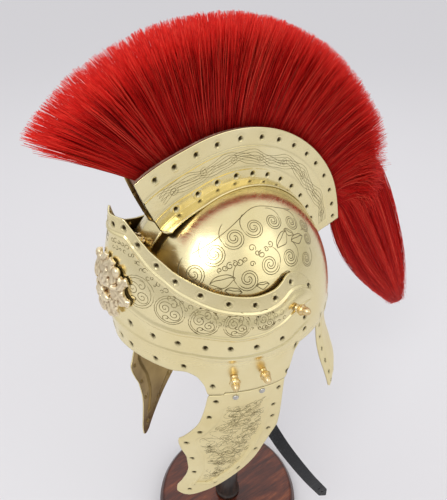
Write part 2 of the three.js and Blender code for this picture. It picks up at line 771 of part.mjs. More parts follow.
// A tapered lock of hair that leans out from a thick foot to a blunt tip, to the side by x.
function lock(foot, tip, x) {
  const along = tip.clone().sub(foot).normalize();
  const side = new THREE.Vector3(0, -along.z, along.y);
  const start = aside(foot, 0.8 * x);
  return loft(lockRows.map((row) => {
    const at = start.clone().lerp(aside(tip, x), row.along);
    const across = side.clone().multiplyScalar(row.half * lockWidth);
    const thick = new THREE.Vector3(row.thick * lockWidth, 0, 0);
    return [
      at.clone().add(across), at.clone().add(thick), at.clone().sub(across), at.clone().sub(thick),
    ];
  }));
}

function plume() {
  const pieces = [fanBacking(), tailBacking()];
  const lockCount = 13;
  const sideShare = 0.55;
  const unevenness = 0.03;
  for (const root of steps(firstRoot + 1, lastRoot - 0.5, lockCount)) {
    const wave = Math.sin(root);
    for (const hand of [-1, 1]) {
      const tip = hairTip(root, 1 + unevenness * wave * hand);
      pieces.push(lock(hairTip(root, 0.5), tip, hand * sideShare * hairSpread));
    }
  }
  return fused(pieces);
}

// Front mask: a plain lion's face in a ring of mane curls, seated on the band's nose

const maskStandOff = sheet / 2 + reliefDepth + flatRoom;

// A point outward of the mask's back. x and z are shares of its width and height. The back meets
// the band in the middle, and its sides bow back less than the band does.
function onMask(x, z, out) {
  const level = maskLevel + z * maskHeight;
  const nose = onWrap(0, level, maskStandOff).y;
  return new THREE.Vector3(x * maskWidth, nose + maskBow * (2 * x) ** 2 - out * maskDepth, level);
}

// A rounded lump of the mask. Its size is in shares of the mask's width, height and depth.
function lump(width, height, depth, x, z, out, sides) {
  const seat = onMask(x, z, out);
  return new THREE.SphereGeometry(0.5, sides, sides - 2)
    .scale(width * maskWidth, depth * maskDepth, height * maskHeight)
    .translate(seat.x, seat.y, seat.z);
}

// The face's lumps: size and place as shares of the mask's width, height and depth. A pair is
// set on both sides.
const faceRows = [
  { name: 'head', width: 0.74, height: 0.8, depth: 1.5, x: 0, z: 0.02, out: 0.1, sides: 10 },
  { name: 'brow', width: 0.44, height: 0.2, depth: 1.0, x: 0, z: 0.22, out: 0.5, sides: 6 },
  { name: 'nose', width: 0.18, height: 0.34, depth: 1.0, x: 0, z: 0.06, out: 0.65, sides: 6 },
  { name: 'muzzle', width: 0.4, height: 0.22, depth: 1.0, x: 0, z: -0.14, out: 0.55, sides: 6 },
  { name: 'chin', width: 0.26, height: 0.16, depth: 0.9, x: 0, z: -0.3, out: 0.4, sides: 6 },
  { name: 'cheeks', width: 0.24, height: 0.2, depth: 1.0, x: 0.22, z: 0, out: 0.4, sides: 6 },
  { name: 'ears', width: 0.2, height: 0.2, depth: 1.0, x: 0.3, z: 0.32, out: 0.3, sides: 6 },
];

// The curls stand in a ring, as shares of the mask's width, height and depth.
const curlCount = 11;
const curl = { size: 0.28, depth: 1.2, ringX: 0.36, ringZ: 0.37, out: 0.15, sides: 6 };

function frontMask() {
  const pieces = faceRows.flatMap(({ width, height, depth, x, z, out, sides }) => {
    const places = x === 0 ? [0] : [-x, x];
    return places.map((place) => lump(width, height, depth, place, z, out, sides));
  });
  for (let i = 0; i < curlCount; i++) {
    const a = (i + 0.5) / curlCount * 2 * Math.PI;
    const x = curl.ringX * Math.sin(a);
    const z = curl.ringZ * Math.cos(a);
    pieces.push(lump(curl.size, curl.size, curl.depth, x, z, curl.out, curl.sides));
  }
  const behind = (out) => steps(-1, 1, 6).map((z) => steps(-1, 1, 12).map((x) => onMask(x, z, out)));
  const band = toSolid(wallBetween(behind(0), behind(-3)));
  return fromSolid(pieces.map(toSolid).reduce((sum, piece) => sum.add(piece)).subtract(band));
}

// Chin strap

// The strap's middle line, chosen by hand from the guard's inside to its free end: side, back and
// height in the helmet's frame.
const strapRoute = [
  [92.6, -17, -85],
  [89.9, -6, -112],
  [88.2, 3.5, -134],
  [91, 10, -151],
  [96.5, 20, -176],
  [103, 37, -214],
  [108.5, 58, -258],
  [111, 78, -297],
  [112, 95, -330],
];

function chinStrap() {
  const curve = new THREE.CatmullRomCurve3(strapRoute.map((p) => new THREE.Vector3(...p)));
  const length = curve.getLength();
  const face = new THREE.Vector3(1, -0.15, 0);
  const pointShare = 0.12;
  const cuts = [...steps(0, 1 - strapPointLength / length, 20), 1];
  return loft(cuts.map((u) => {
    const at = curve.getPointAt(u);
    const along = curve.getTangentAt(u);
    const side = new THREE.Vector3().crossVectors(along, face).normalize();
    const out = new THREE.Vector3().crossVectors(side, along).normalize();
    const half = (u === 1 ? pointShare : 0.5) * strapWidth;
    const thick = strapThickness / 2;
    const corners = [[half, thick], [-half, thick], [-half, -thick], [half, -thick]];
    return corners.map(([s, t]) => at.clone().addScaledVector(side, s).addScaledVector(out, t));
  }));
}

// Stand: base, post with its collar, and a head that the bowl rests on

function standBase() {
  const top = baseTopWidth / 2;
  const half = top + baseRim;
  return turned([
    [0, 0], [0.95 * half, 0], [0.97 * half, 0.26 * baseThickness], [half, 0.4 * baseThickness],
    [half, 0.66 * baseThickness], [top, baseThickness], [0, baseThickness],
  ], 44);
}

const domeInsideTop = rimHeight + domeHeight - sheet;

function standPost() {
  const foot = baseThickness + fit;
  const top = domeInsideTop - flatRoom;
  const across = headWidth / 2;
  const crownDrop = headRound - Math.sqrt(headRound ** 2 - across ** 2);
  const crown = steps(0, 1, 5).map((u) => {
    const r = across * (1 - u);
    return [r, top - headRound + Math.sqrt(headRound ** 2 - r ** 2)];
  });
  return turned([
    [0, foot], [collarWidth / 2, foot], [collarWidth / 2, foot + 0.6 * collarHeight],
    [postWidth / 2, foot + collarHeight], [postWidth / 2, top - crownDrop - headThickness],
    [across, top - crownDrop - 0.2 * headThickness], ...crown,
  ], 20);
}

// Assembly

const helmet = new THREE.Group();
helmet.position.set(0, -standSetBack, rimHeight);

function addMesh(parent, name, geometry, finish) {
  const mesh = new THREE.Mesh(geometry, new THREE.MeshStandardMaterial(finish));
  mesh.name = name;
  parent.add(mesh);
  return mesh;
}

function addPair(name, geometry, finish) {
  addMesh(helmet, `${name}_left`, geometry, finish);
  addMesh(helmet, `${name}_right`, mirrored(geometry), finish);
}

addMesh(helmet, 'dome', domeShell(), brass);
addMesh(helmet, 'brow_band', browBand(), brass);
addMesh(helmet, 'neck_guard', neckGuard(), brass);
addMesh(helmet, 'crest_box', crestBox(), brass);
addMesh(helmet, 'crest_block', crestBlock(), brownWood);
addMesh(helmet, 'plume', plume(), redHair);
addMesh(helmet, 'front_mask', frontMask(), castBrass);
addPair('cheek_guard', cheekGuard(), brass);
addPair('hinge_leaf_upper', hingeLeaf(true), brass);
addPair('hinge_leaf_lower', hingeLeaf(false), brass);
addPair('hinge_pin', hingePin(), steel);

// Angle and level of each stud on the left side; the right side mirrors them.
const finialSpots = [
  { name: 'finial_front', angle: 62, level: -0.4 * jointDrop },
  { name: 'finial_rear', angle: 75, level: -0.33 * jointDrop },
  { name: 'finial_lobe', angle: 94, level: 0.34 * browTop },
];
for (const { name, angle, level } of finialSpots) {
  addPair(name, studOn(acorn, 8, angle, level, 0.4 * finialWidth), copperBrass);
}
const rivetSpots = [
  { name: 'rivet_front', angle: 63.5, level: -jointDrop - 7.5 },
  { name: 'rivet_rear', angle: 76, level: -jointDrop - 5.5 },
];
for (const { name, angle, level } of rivetSpots) {
  addPair(name, studOn(rivetHead, 8, angle, level, 0), steel);
}

// The finial on the tongue's end, square to the tongue.
const tongueSeat = overDome(tongueFinialAngle, 0, liftAt(tongueAngle) + sheet + flatRoom);
const tongueLook = overDome(tongueFinialAngle, 0, crestHeight).sub(tongueSeat).normalize();
const tongueFinial = addMesh(helmet, 'finial_tongue', turned(acorn, 8), copperBrass);
tongueFinial.position.copy(tongueSeat);
tongueFinial.quaternion.setFromUnitVectors(new THREE.Vector3(0, 0, 1), tongueLook);

addMesh(helmet, 'chin_strap', chinStrap(), blackLeather);

const object = new THREE.Group();
object.add(helmet);
addMesh(object, 'stand_base', standBase(), mahogany);
addMesh(object, 'stand_post', standPost(), blackWood);

export default object;
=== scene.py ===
# A Roman legionary's brass helmet with a red horsehair plume, on a turned wooden stand.
# The helmet's pieces are worked out in its own frame, in millimetres: zero height is the rim line of
# the skull bowl, the face looks along -Y and the wearer's left is +X. The stand's frame is the row's.

import math

import bmesh
import bpy
import numpy as np
from mathutils import Matrix, Vector


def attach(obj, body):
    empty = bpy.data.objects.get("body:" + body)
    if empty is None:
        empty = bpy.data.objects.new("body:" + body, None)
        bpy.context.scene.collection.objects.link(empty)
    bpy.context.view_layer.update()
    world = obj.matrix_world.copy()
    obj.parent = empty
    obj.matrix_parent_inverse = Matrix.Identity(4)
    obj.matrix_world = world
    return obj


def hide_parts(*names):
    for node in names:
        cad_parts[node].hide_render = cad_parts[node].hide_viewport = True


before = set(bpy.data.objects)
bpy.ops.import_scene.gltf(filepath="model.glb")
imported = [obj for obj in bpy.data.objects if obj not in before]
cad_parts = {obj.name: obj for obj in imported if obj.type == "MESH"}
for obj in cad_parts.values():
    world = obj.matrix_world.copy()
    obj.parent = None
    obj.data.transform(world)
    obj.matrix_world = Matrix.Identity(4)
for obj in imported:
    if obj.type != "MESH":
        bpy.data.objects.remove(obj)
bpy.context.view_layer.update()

# Sizes of the solids that the fine pieces follow, in millimetres and degrees
SHEET = 1.4
FIT = 0.3
FLAT_ROOM = 0.85
HALF_WIDTH = 100
HALF_LENGTH = 110
DOME_HEIGHT = 127
DOME_SET_BACK = 3.5
DOME_SKIRT = 2
BROW_TOP = 126
BROW_BORDER = 15
RELIEF_DEPTH = 2.2
JOINT_DROP = 35.5
JOINT_STEP = 2.5
JOINT_STEP_ANGLE = 58
HUG_START = 84
HUG_END = 100
GUARD_LENGTH = 195
NECK_DROP = 105
NECK_OVERLAP = 5
NECK_EDGE_ANGLE = 116
NECK_FLARE = 0.21
CREST_HEIGHT = 48
CREST_FRONT_RISE = 6
CREST_REAR_FALL = 4
CREST_WIDTH = 20.6
FLANGE_WIDTH = 11
CREST_FOOT_ANGLE = -39.5
CREST_BROW_ANGLE = -33.5
CREST_REAR_ANGLE = 75
CREST_LIFT = 5
LIFT_SPAN = 22
RISE_END_ANGLE = -14
FALL_START_ANGLE = 52
WALL_EASE_SPAN = 24
TONGUE_ANGLE = -49.5
TONGUE_WIDTH = 24
BLOCK_BELOW_WALL = 1
HAIR_LENGTH = 85
HAIR_SPREAD = 22
TAIL_REACH = 190
TAIL_DROP = 226
MASK_WIDTH = 70
MASK_BOW = 12
MASK_LEVEL = 63
FINIAL_WIDTH = 9.5
FINIAL_LENGTH = 15
RIVET_WIDTH = 6
RIVET_HEIGHT = 1.6
STRAP_WIDTH = 14
STRAP_THICKNESS = 2
RIM_HEIGHT = 420
STAND_SET_BACK = 8
BASE_WIDTH = 208
BASE_TOP_WIDTH = 194
BASE_THICKNESS = 25
POST_WIDTH = 30
COLLAR_WIDTH = 36
COLLAR_HEIGHT = 8
HEAD_WIDTH = 96
HEAD_ROUND = 60
HEAD_THICKNESS = 34

DIMPLE_RADIUS = 2.6
DIMPLE_DEPTH = 1.4
HELMET_ORIGIN = np.array([0, -STAND_SET_BACK, RIM_HEIGHT])

rng = np.random.default_rng(7)


# Tables and curves

def table(names, *rows):
    """Columns by name, from rows of numbers in that order."""
    return {name: np.array([row[i] for row in rows], float) for i, name in enumerate(names.split())}


def curve_at(rows, key, column, at, even=False):
    """A column's value on a smooth curve through the rows, which doesn't overshoot them if even."""
    x, y = rows[key], rows[column]
    at = np.clip(np.asarray(at, float), x[0], x[-1])
    i = np.clip(np.searchsorted(x, at, side="left") - 1, 0, len(x) - 2)
    if even:
        secant = np.diff(y) / np.diff(x)
        a, b = secant[:-1], secant[1:]
        inner = np.where(a * b > 0, 2 * a * b / np.where(a * b > 0, a + b, 1), 0)
        slope = np.concatenate([secant[:1], inner, secant[-1:]])
    else:
        low = np.maximum(np.arange(len(x)) - 1, 0)
        high = np.minimum(np.arange(len(x)) + 1, len(x) - 1)
        slope = (y[high] - y[low]) / (x[high] - x[low])
    span = x[i + 1] - x[i]
    u = (at - x[i]) / span
    return ((1 + 2 * u) * (1 - u) ** 2 * y[i] + u * (1 - u) ** 2 * span * slope[i]
            + u * u * (3 - 2 * u) * y[i + 1] + u * u * (u - 1) * span * slope[i + 1])


def ease(u):
    u = np.clip(u, 0, 1)
    return u * u * (3 - 2 * u)


def bump(distance, width):
    return np.exp(-(distance / width) ** 2)


def unit(v):
    return v / np.maximum(np.linalg.norm(v, axis=-1, keepdims=True), 1e-9)


# Meshes

def in_row_frame(points):
    """Points of the helmet's frame in millimetres as points of the row's frame in metres."""
    return (np.asarray(points, float) + HELMET_ORIGIN) / 1000


def build_mesh(name, points, faces, colours=None):
    """A mesh from points in metres and arrays of faces. colours maps names to numbers at each point."""
    faces = [np.asarray(f, np.int64) for f in faces if len(f)]
    mesh = bpy.data.meshes.new(name)
    mesh.vertices.add(len(points))
    mesh.vertices.foreach_set("co", np.asarray(points, np.float32).ravel())
    sizes = np.concatenate([np.full(len(f), f.shape[1]) for f in faces])
    mesh.loops.add(int(sizes.sum()))
    mesh.loops.foreach_set("vertex_index", np.concatenate([f.ravel() for f in faces]).astype(np.int32))
    mesh.polygons.add(len(sizes))
    mesh.polygons.foreach_set("loop_start", (np.cumsum(sizes) - sizes).astype(np.int32))
    mesh.update(calc_edges=True)
    for key, values in (colours or {}).items():
        layer = mesh.attributes.new(key, "FLOAT", "POINT")
        layer.data.foreach_set("value", np.asarray(values, np.float32).ravel())
    mesh.validate()
    return mesh


def show(name, data):
    """A new object in the scene."""
    thing = bpy.data.objects.new(name, data)
    bpy.context.scene.collection.objects.link(thing)
    return thing


def face_outward(mesh):
    work = bmesh.new()
    work.from_mesh(mesh)
    bmesh.ops.recalc_face_normals(work, faces=work.faces)
    work.to_mesh(mesh)
    work.free()


def add_piece(name, mesh, materials, body, replaced=(), face_kinds=None, smooth=True):
    """A piece from a finished mesh, with its materials, its body and the nodes that it replaces."""
    for material in materials:
        mesh.materials.append(material)
    if face_kinds is not None:
        mesh.polygons.foreach_set("material_index", np.asarray(face_kinds, np.int32))
    if smooth:
        mesh.shade_smooth()
    piece = show(name, mesh)
    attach(piece, body)
    if replaced:
        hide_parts(*replaced)


def add_plate(name, mesh, kinds, body="root"):
    """A piece of sheet brass, polished outside and dull inside, in place of the solid of its name."""
    add_piece(name + "_fine", mesh, [BRASS, INSIDE], body, [name], kinds)


def wall_faces(rows, columns, closed=False):
    """Faces of a wall between two grids of points, with its edges closed, and a 1 for each inner one."""
    i = np.arange(rows * columns).reshape(rows, columns)
    if closed:
        i = np.concatenate([i, i[:, :1]], axis=1)
    j = i + rows * columns

    def quads(a, b, c, d):
        return np.stack([a, b, c, d], -1).reshape(-1, 4)

    outer = quads(i[:-1, :-1], i[:-1, 1:], i[1:, 1:], i[1:, :-1])
    inner = quads(j[:-1, :-1], j[1:, :-1], j[1:, 1:], j[:-1, 1:])
    ends = [quads(i[0, 1:], i[0, :-1], j[0, :-1], j[0, 1:]),
            quads(i[-1, :-1], i[-1, 1:], j[-1, 1:], j[-1, :-1])]
    if not closed:
        ends += [quads(i[:-1, 0], i[1:, 0], j[1:, 0], j[:-1, 0]),
                 quads(i[1:, -1], i[:-1, -1], j[:-1, -1], j[1:, -1])]
    edges = np.concatenate(ends)
    kinds = np.concatenate([np.zeros(len(outer)), np.ones(len(inner)), np.zeros(len(edges))])
    return np.concatenate([outer, inner, edges]), kinds


def grid_normals(points):
    """Unit normals of a grid of points. Their side is that of columns crossed with rows."""
    return unit(np.cross(np.gradient(points, axis=1), np.gradient(points, axis=0)))


def dimples(points, centres):
    """How far each point sinks for a dimple at each centre, with a raised lip, and how dark it is:
    painted shade in the pit.
    """
    sink = np.zeros(points.shape[:-1])
    dark = np.zeros(points.shape[:-1])
    for centre in centres:
        away = np.linalg.norm(points - centre, axis=-1)
        near = away < 3 * DIMPLE_RADIUS
        r = away[near]
        pit = np.clip(1 - (r / DIMPLE_RADIUS) ** 2, 0, 1)
        sink[near] += DIMPLE_DEPTH * pit ** 0.7 - 0.5 * bump(r - DIMPLE_RADIUS - 0.7, 0.8)
        dark[near] = np.maximum(dark[near], ease(pit * 1.9))
    return sink, dark


def sheet_grids(middle, normals, centres):
    """Both sides of a sheet about a grid of middle points, dimpled from outside, and how dark it is with
    painted shade in the dimples.
    """
    sink, dark = dimples(middle, centres)
    middle = middle - normals * sink[..., None]
    return middle + normals * SHEET / 2, middle - normals * SHEET / 2, dark


def sheets_mesh(name, sheets, closed=False):
    """One mesh of sheets, each given as its outer grid, its inner grid and how dark its points are."""
    points, marks, faces, kinds, count = [], [], [], [], 0
    for outer, inner, dark in sheets:
        found, kind = wall_faces(*dark.shape, closed=closed)
        faces.append(found + count)
        kinds.append(kind)
        points += [outer.reshape(-1, 3), inner.reshape(-1, 3)]
        marks += [dark.ravel(), 0 * dark.ravel()]
        count += 2 * dark.size
    points = in_row_frame(np.concatenate(points))
    mesh = build_mesh(name, points, [np.concatenate(faces)], {"dark": np.concatenate(marks)})
    return mesh, np.concatenate(kinds)


def ring_faces(*shape):
    """Faces round bars whose points run (..., section, corner), and the caps at their ends."""
    i = np.arange(math.prod(shape)).reshape(shape)
    after = np.roll(i, -1, axis=-1)
    corners = [i[..., :-1, :], after[..., :-1, :], after[..., 1:, :], i[..., 1:, :]]
    caps = [i[..., 0, ::-1].reshape(-1, shape[-1]), i[..., -1, :].reshape(-1, shape[-1])]
    return np.stack(corners, -1).reshape(-1, 4), np.concatenate(caps)


def bar_mesh(name, sections, marks=None):
    """A closed bar through its cross sections, from points (section, corner, 3)."""
    points = in_row_frame(sections.reshape(-1, 3))
    mesh = build_mesh(name, points, ring_faces(*sections.shape[:2]), marks)
    face_outward(mesh)
    return mesh


def tubes(paths, radii, sides):
    """Tapered tubes along many paths at once, from (n, k, 3) paths and (n, k) radii."""
    along = unit(np.gradient(paths, axis=1))
    helper = np.where(np.abs(along[..., :1]) > 0.9, np.array([0.0, 1.0, 0.0]), np.array([1.0, 0.0, 0.0]))
    side = unit(np.cross(along, helper))
    other = np.cross(along, side)
    turn = 2 * np.pi * np.arange(sides) / sides
    ring = (np.cos(turn)[:, None] * side[:, :, None] + np.sin(turn)[:, None] * other[:, :, None])
    points = paths[:, :, None] + radii[:, :, None, None] * ring
    return points.reshape(-1, 3), *ring_faces(*radii.shape, sides)


# The surfaces that the sheet pieces follow

WRAP = table(
    "level side front point",
    (-JOINT_DROP - 1.0 * GUARD_LENGTH, 0.85, 1.045, 1.13),
    (-JOINT_DROP - 0.65 * GUARD_LENGTH, 0.88, 1.09, 1.13),
    (-JOINT_DROP - 0.4 * GUARD_LENGTH, 0.93, 1.135, 1.13),
    (-JOINT_DROP - 0.2 * GUARD_LENGTH, 0.99, 1.105, 1.13),
    (-JOINT_DROP, 1.025, 1.055, 1.13),
    (0, 1.035, 1.055, 1.13),
    (0.3 * BROW_TOP, 0.99, 1.065, 1.13),
    (0.6 * BROW_TOP, 0.88, 1.025, 1.14),
    (0.86 * BROW_TOP, 0.75, 0.985, 1.18),
    (1.1 * BROW_TOP, 0.63, 0.965, 1.3),
)


def on_dome(angle, height, out=0.0):
    """A point of the bowl's outside at a plan angle from the front and a height, moved outward."""
    angle, height = np.broadcast_arrays(np.radians(angle), np.asarray(height, float))
    share = np.sqrt(np.maximum(1 - (np.maximum(height, 0) / DOME_HEIGHT) ** 2, 0))
    x = (HALF_WIDTH * share + out) * np.sin(angle)
    y = DOME_SET_BACK - (HALF_LENGTH * share + out) * np.cos(angle)
    return np.stack([x, y, height], -1)


def plain_wrap(angle, level):
    angle, level = np.broadcast_arrays(np.radians(angle), np.asarray(level, float))
    side = HALF_WIDTH * curve_at(WRAP, "level", "side", level)
    front = HALF_LENGTH * curve_at(WRAP, "level", "front", level)
    point = curve_at(WRAP, "level", "point", level)
    s, c = np.sin(angle), np.cos(angle)
    x, y = side * np.sign(s) * np.abs(s) ** point, -front * np.sign(c) * np.abs(c) ** point
    return np.stack([x, y, level], -1)


def on_wrap(angle, level, out=0.0):
    """A point of the upright surface of band and cheek guards. Past the ears it hugs the bowl."""
    angle, level, out = np.broadcast_arrays(np.asarray(angle, float), np.asarray(level, float), out)
    hug = ease((np.abs(angle) - HUG_START) / (HUG_END - HUG_START))[..., None]
    beside = 0.5
    across = plain_wrap(angle + beside, level) - plain_wrap(angle - beside, level)
    normal = unit(np.stack([-across[..., 1], across[..., 0], 0 * level], -1))
    look = np.stack([np.sin(np.radians(angle)), -np.cos(np.radians(angle)), 0 * level], -1)
    normal = normal * np.sign(np.sum(normal * look, -1, keepdims=True))
    free = plain_wrap(angle, level) + normal * out[..., None]
    return free * (1 - hug) + on_dome(angle, level, FIT + SHEET + out) * hug


def to_dome(points):
    """Points moved onto the bowl's outside, straight from its middle."""
    middle = np.array([0, DOME_SET_BACK, 0])
    axes = np.array([HALF_WIDTH, HALF_LENGTH, DOME_HEIGHT])
    return middle + (points - middle) / np.linalg.norm((points - middle) / axes, axis=-1, keepdims=True)


def dome_normal(points):
    return unit((points - (0, DOME_SET_BACK, 0)) / np.array([HALF_WIDTH, HALF_LENGTH, DOME_HEIGHT]) ** 2)


def over_dome(angle, across, height):
    """A point over the bowl's middle line: angle from the crown, distance to the side and height."""
    angle, across, height = np.broadcast_arrays(np.radians(angle), np.asarray(across, float), height)
    share = np.sqrt(1 - (across / HALF_WIDTH) ** 2)
    y = DOME_SET_BACK + (HALF_LENGTH * share + height) * np.sin(angle)
    return np.stack([across, y, (DOME_HEIGHT * share + height) * np.cos(angle)], -1)


def lift_at(angle):
    """How far the crest's floor stands off the bowl: more towards its front foot."""
    return FIT + CREST_LIFT * ease((CREST_FOOT_ANGLE + LIFT_SPAN - angle) / LIFT_SPAN)


def wall_top_at(angle):
    """Height of the crest's walls over the bowl, with a rise in front and a fall behind."""
    return (CREST_HEIGHT + CREST_FRONT_RISE * ease((RISE_END_ANGLE - angle) / WALL_EASE_SPAN)
            - CREST_REAR_FALL * ease((angle - FALL_START_ANGLE) / WALL_EASE_SPAN))


def crest_angle(u, height):
    start = CREST_FOOT_ANGLE + (CREST_BROW_ANGLE - CREST_FOOT_ANGLE) * np.maximum(height, 0) / (
        CREST_HEIGHT + CREST_FRONT_RISE)
    return start + (CREST_REAR_ANGLE - start) * u


# Materials

class Nodes:
    """A material's node tree, with short calls for the nodes that this scene uses."""

    def __init__(self, name, base, metallic=0.0, roughness=0.4, **sockets):
        self.material = bpy.data.materials.new(name)
        self.material.use_nodes = True
        self.tree = self.material.node_tree
        self.shader = self.tree.nodes["Principled BSDF"]
        self.set("Base Color", (*base, 1))
        self.set("Metallic", metallic)
        self.set("Roughness", roughness)
        for key, value in sockets.items():
            self.set(key.replace("_", " "), value)
        self.place = self.add("ShaderNodeTexCoord").outputs["Object"]

    def set(self, socket, value):
        self.link(self.shader, socket, value)

    def add(self, kind, **values):
        node = self.tree.nodes.new(kind)
        for key, value in values.items():
            setattr(node, key, value)
        return node

    def link(self, node, socket, value):
        if isinstance(value, bpy.types.NodeSocket):
            self.tree.links.new(value, node.inputs[socket])
        else:
            node.inputs[socket].default_value = value

    def made(self, kind, **sockets):
        """A new node with its sockets given by name, with _ for a space."""
        node = self.add(kind)
        for key, value in sockets.items():
            self.link(node, key.replace("_", " "), value)
        return node

    def stretched(self, scale):
        node = self.made("ShaderNodeMapping", Vector=self.place, Scale=scale)
        return node.outputs["Vector"]

    def noise(self, scale, detail=3.0, rough=0.55, place=None, twist=0.0):
        node = self.made("ShaderNodeTexNoise", Vector=place or self.place, Scale=scale, Detail=detail,
                         Roughness=rough, Distortion=twist)
        return node.outputs["Fac"]

    def ramp(self, value, *stops):
        node = self.add("ShaderNodeValToRGB")
        self.link(node, "Fac", value)
        ramp = node.color_ramp
        while len(ramp.elements) < len(stops):
            ramp.elements.new(0.5)
        for element, (at, colour) in zip(ramp.elements, stops):
            element.position = at
            element.color = (*colour, 1)
        return node.outputs["Color"]

    def mix(self, share, a, b):
        node = self.add("ShaderNodeMix", data_type="RGBA")
        for socket, value in ((0, share), (6, a), (7, b)):
            self.link(node, socket, (*value, 1) if isinstance(value, tuple) else value)
        return node.outputs[2]

    def math(self, kind, a, b=0.0):
        node = self.add("ShaderNodeMath", operation=kind)
        self.link(node, 0, a)
        self.link(node, 1, b)
        return node.outputs[0]

    def span(self, value, low, high, to_low, to_high):
        node = self.made("ShaderNodeMapRange", Value=value, From_Min=low, From_Max=high, To_Min=to_low,
                         To_Max=to_high)
        return node.outputs["Result"]

    def mark(self, name):
        return self.add("ShaderNodeAttribute", attribute_name=name).outputs["Fac"]

    def relief(self, height, strength, distance, under=None):
        node = self.made("ShaderNodeBump", Strength=strength, Distance=distance, Height=height)
        if under is not None:
            self.link(node, "Normal", under)
        return node.outputs["Normal"]


def brass_sheet():
    """Pale polished brass with faint waves, fine rubbing marks and painted shade in the dimples."""
    n = Nodes("brass_sheet", (0.8, 0.72, 0.45), metallic=1.0)
    cloud = n.noise(14, 4)
    tone = n.ramp(cloud, (0.3, (0.82, 0.7, 0.37)), (0.7, (0.91, 0.81, 0.49)))
    pit_shade = n.mark("dark")
    # Painted shade: each dimple's pit is mixed towards a near black brown.
    n.set("Base Color", n.mix(pit_shade, tone, (0.045, 0.03, 0.012)))
    rub = n.noise(60, 4, place=n.stretched((1, 1, 14)))
    height = n.made("ShaderNodeSeparateXYZ", Vector=n.place).outputs["Z"]
    satin = n.span(height, 0.4, 0.43, 0.24, 0.0)
    gloss = n.math("ADD", n.span(rub, 0.3, 0.7, 0.16, 0.28), satin)
    n.set("Roughness", n.math("ADD", gloss, n.math("MULTIPLY", pit_shade, 0.35)))
    waves = n.relief(n.noise(24, 2), 0.2, 0.003)
    n.set("Normal", n.relief(rub, 0.06, 0.0003, waves))
    return n.material


def brass_inside():
    """The unpolished inner side, a deeper orange brown."""
    n = Nodes("brass_inside", (0.55, 0.3, 0.08), metallic=1.0, roughness=0.32)
    tone = n.ramp(n.noise(22, 4), (0.3, (0.26, 0.17, 0.06)), (0.7, (0.46, 0.32, 0.12)))
    n.set("Base Color", tone)
    n.set("Normal", n.relief(n.noise(70, 3), 0.12, 0.001))
    return n.material


def engraved_line():
    # The dark brown is painted shade standing in for the inside of a chased groove.
    n = Nodes("engraved_line", (0.2, 0.16, 0.07), metallic=0.9, roughness=0.38)
    n.set("Base Color", n.ramp(n.noise(120, 2), (0.35, (0.13, 0.1, 0.04)), (0.65, (0.3, 0.24, 0.11))))
    return n.material


def cast_brass():
    """Cast brass: warm and pale on the high places, and brown in the hollows as painted shade."""
    n = Nodes("cast_brass", (0.8, 0.62, 0.38), metallic=1.0)
    hollow = n.add("ShaderNodeNewGeometry").outputs["Pointiness"]
    tone = n.ramp(n.noise(60, 3), (0.3, (0.82, 0.69, 0.45)), (0.7, (0.95, 0.84, 0.6)))
    # Painted shade: the hollows, found by pointiness, are mixed to dark brown.
    n.set("Base Color", n.mix(n.span(hollow, 0.44, 0.52, 1.0, 0.0), tone, (0.2, 0.1, 0.04)))
    n.set("Roughness", n.span(n.noise(90, 3), 0.3, 0.7, 0.32, 0.46))
    n.set("Normal", n.relief(n.noise(260, 3), 0.25, 0.0006))
    return n.material


def finial_brass():
    n = Nodes("finial_brass", (0.85, 0.55, 0.25), metallic=1.0)
    tone = n.ramp(n.noise(150, 3), (0.35, (0.6, 0.4, 0.15)), (0.65, (0.84, 0.68, 0.38)))
    n.set("Base Color", tone)
    n.set("Roughness", n.span(n.noise(300, 2), 0.3, 0.7, 0.2, 0.36))
    return n.material


def rivet_steel():
    n = Nodes("rivet_steel", (0.5, 0.5, 0.48), metallic=1.0)
    n.set("Base Color", n.ramp(n.noise(200, 3), (0.3, (0.34, 0.33, 0.3)), (0.7, (0.62, 0.6, 0.56))))
    n.set("Roughness", n.span(n.noise(300, 3), 0.3, 0.7, 0.25, 0.45))
    return n.material


def red_hair():
    """Dyed horsehair: each strand has its own red, darker at the root as painted shade inside the plume,
    and lighter at the tip.
    """
    n = Nodes("red_horsehair", (0.6, 0.01, 0.015), roughness=0.55, Specular_IOR_Level=0.12)
    tint = n.ramp(n.mark("tint"), (0.0, (0.24, 0.0, 0.0)), (0.5, (0.74, 0.009, 0.006)),
                  (1.0, (1.0, 0.12, 0.07)))
    # Painted shade: the strands darken towards their roots, deep in the plume.
    body = n.mix(n.span(n.mark("along"), 0.0, 0.7, 0.5, 0.0), tint, (0.16, 0.0, 0.002))
    n.set("Base Color", n.mix(n.span(n.mark("along"), 0.72, 1.0, 0.0, 0.45), body, (0.95, 0.035, 0.025)))
    return n.material


def crest_wood():
    n = Nodes("crest_wood", (0.36, 0.2, 0.13), roughness=0.6)
    grain = n.noise(30, 4, place=n.stretched((8, 1, 8)), twist=0.6)
    n.set("Base Color", n.ramp(grain, (0.3, (0.2, 0.1, 0.06)), (0.7, (0.47, 0.28, 0.2))))
    n.set("Normal", n.relief(grain, 0.3, 0.0006))
    return n.material


def black_leather():
    """Worn black leather with pale specks and patchy scuffs."""
    n = Nodes("black_leather", (0.02, 0.021, 0.024), roughness=0.5, Specular_IOR_Level=0.2)
    scuff = n.noise(120, 6, 0.7)
    specks = n.ramp(n.noise(900, 2, 0.6), (0.66, (0.0, 0.0, 0.0)), (0.74, (1.0, 1.0, 1.0)))
    tone = n.ramp(scuff, (0.5, (0.004, 0.0045, 0.006)), (0.85, (0.03, 0.033, 0.037)))
    n.set("Base Color", n.mix(n.math("MULTIPLY", specks, 0.5), tone, (0.3, 0.31, 0.32)))
    n.set("Roughness", n.span(scuff, 0.3, 0.7, 0.35, 0.6))
    n.set("Normal", n.relief(n.noise(420, 4), 0.3, 0.0006))
    return n.material


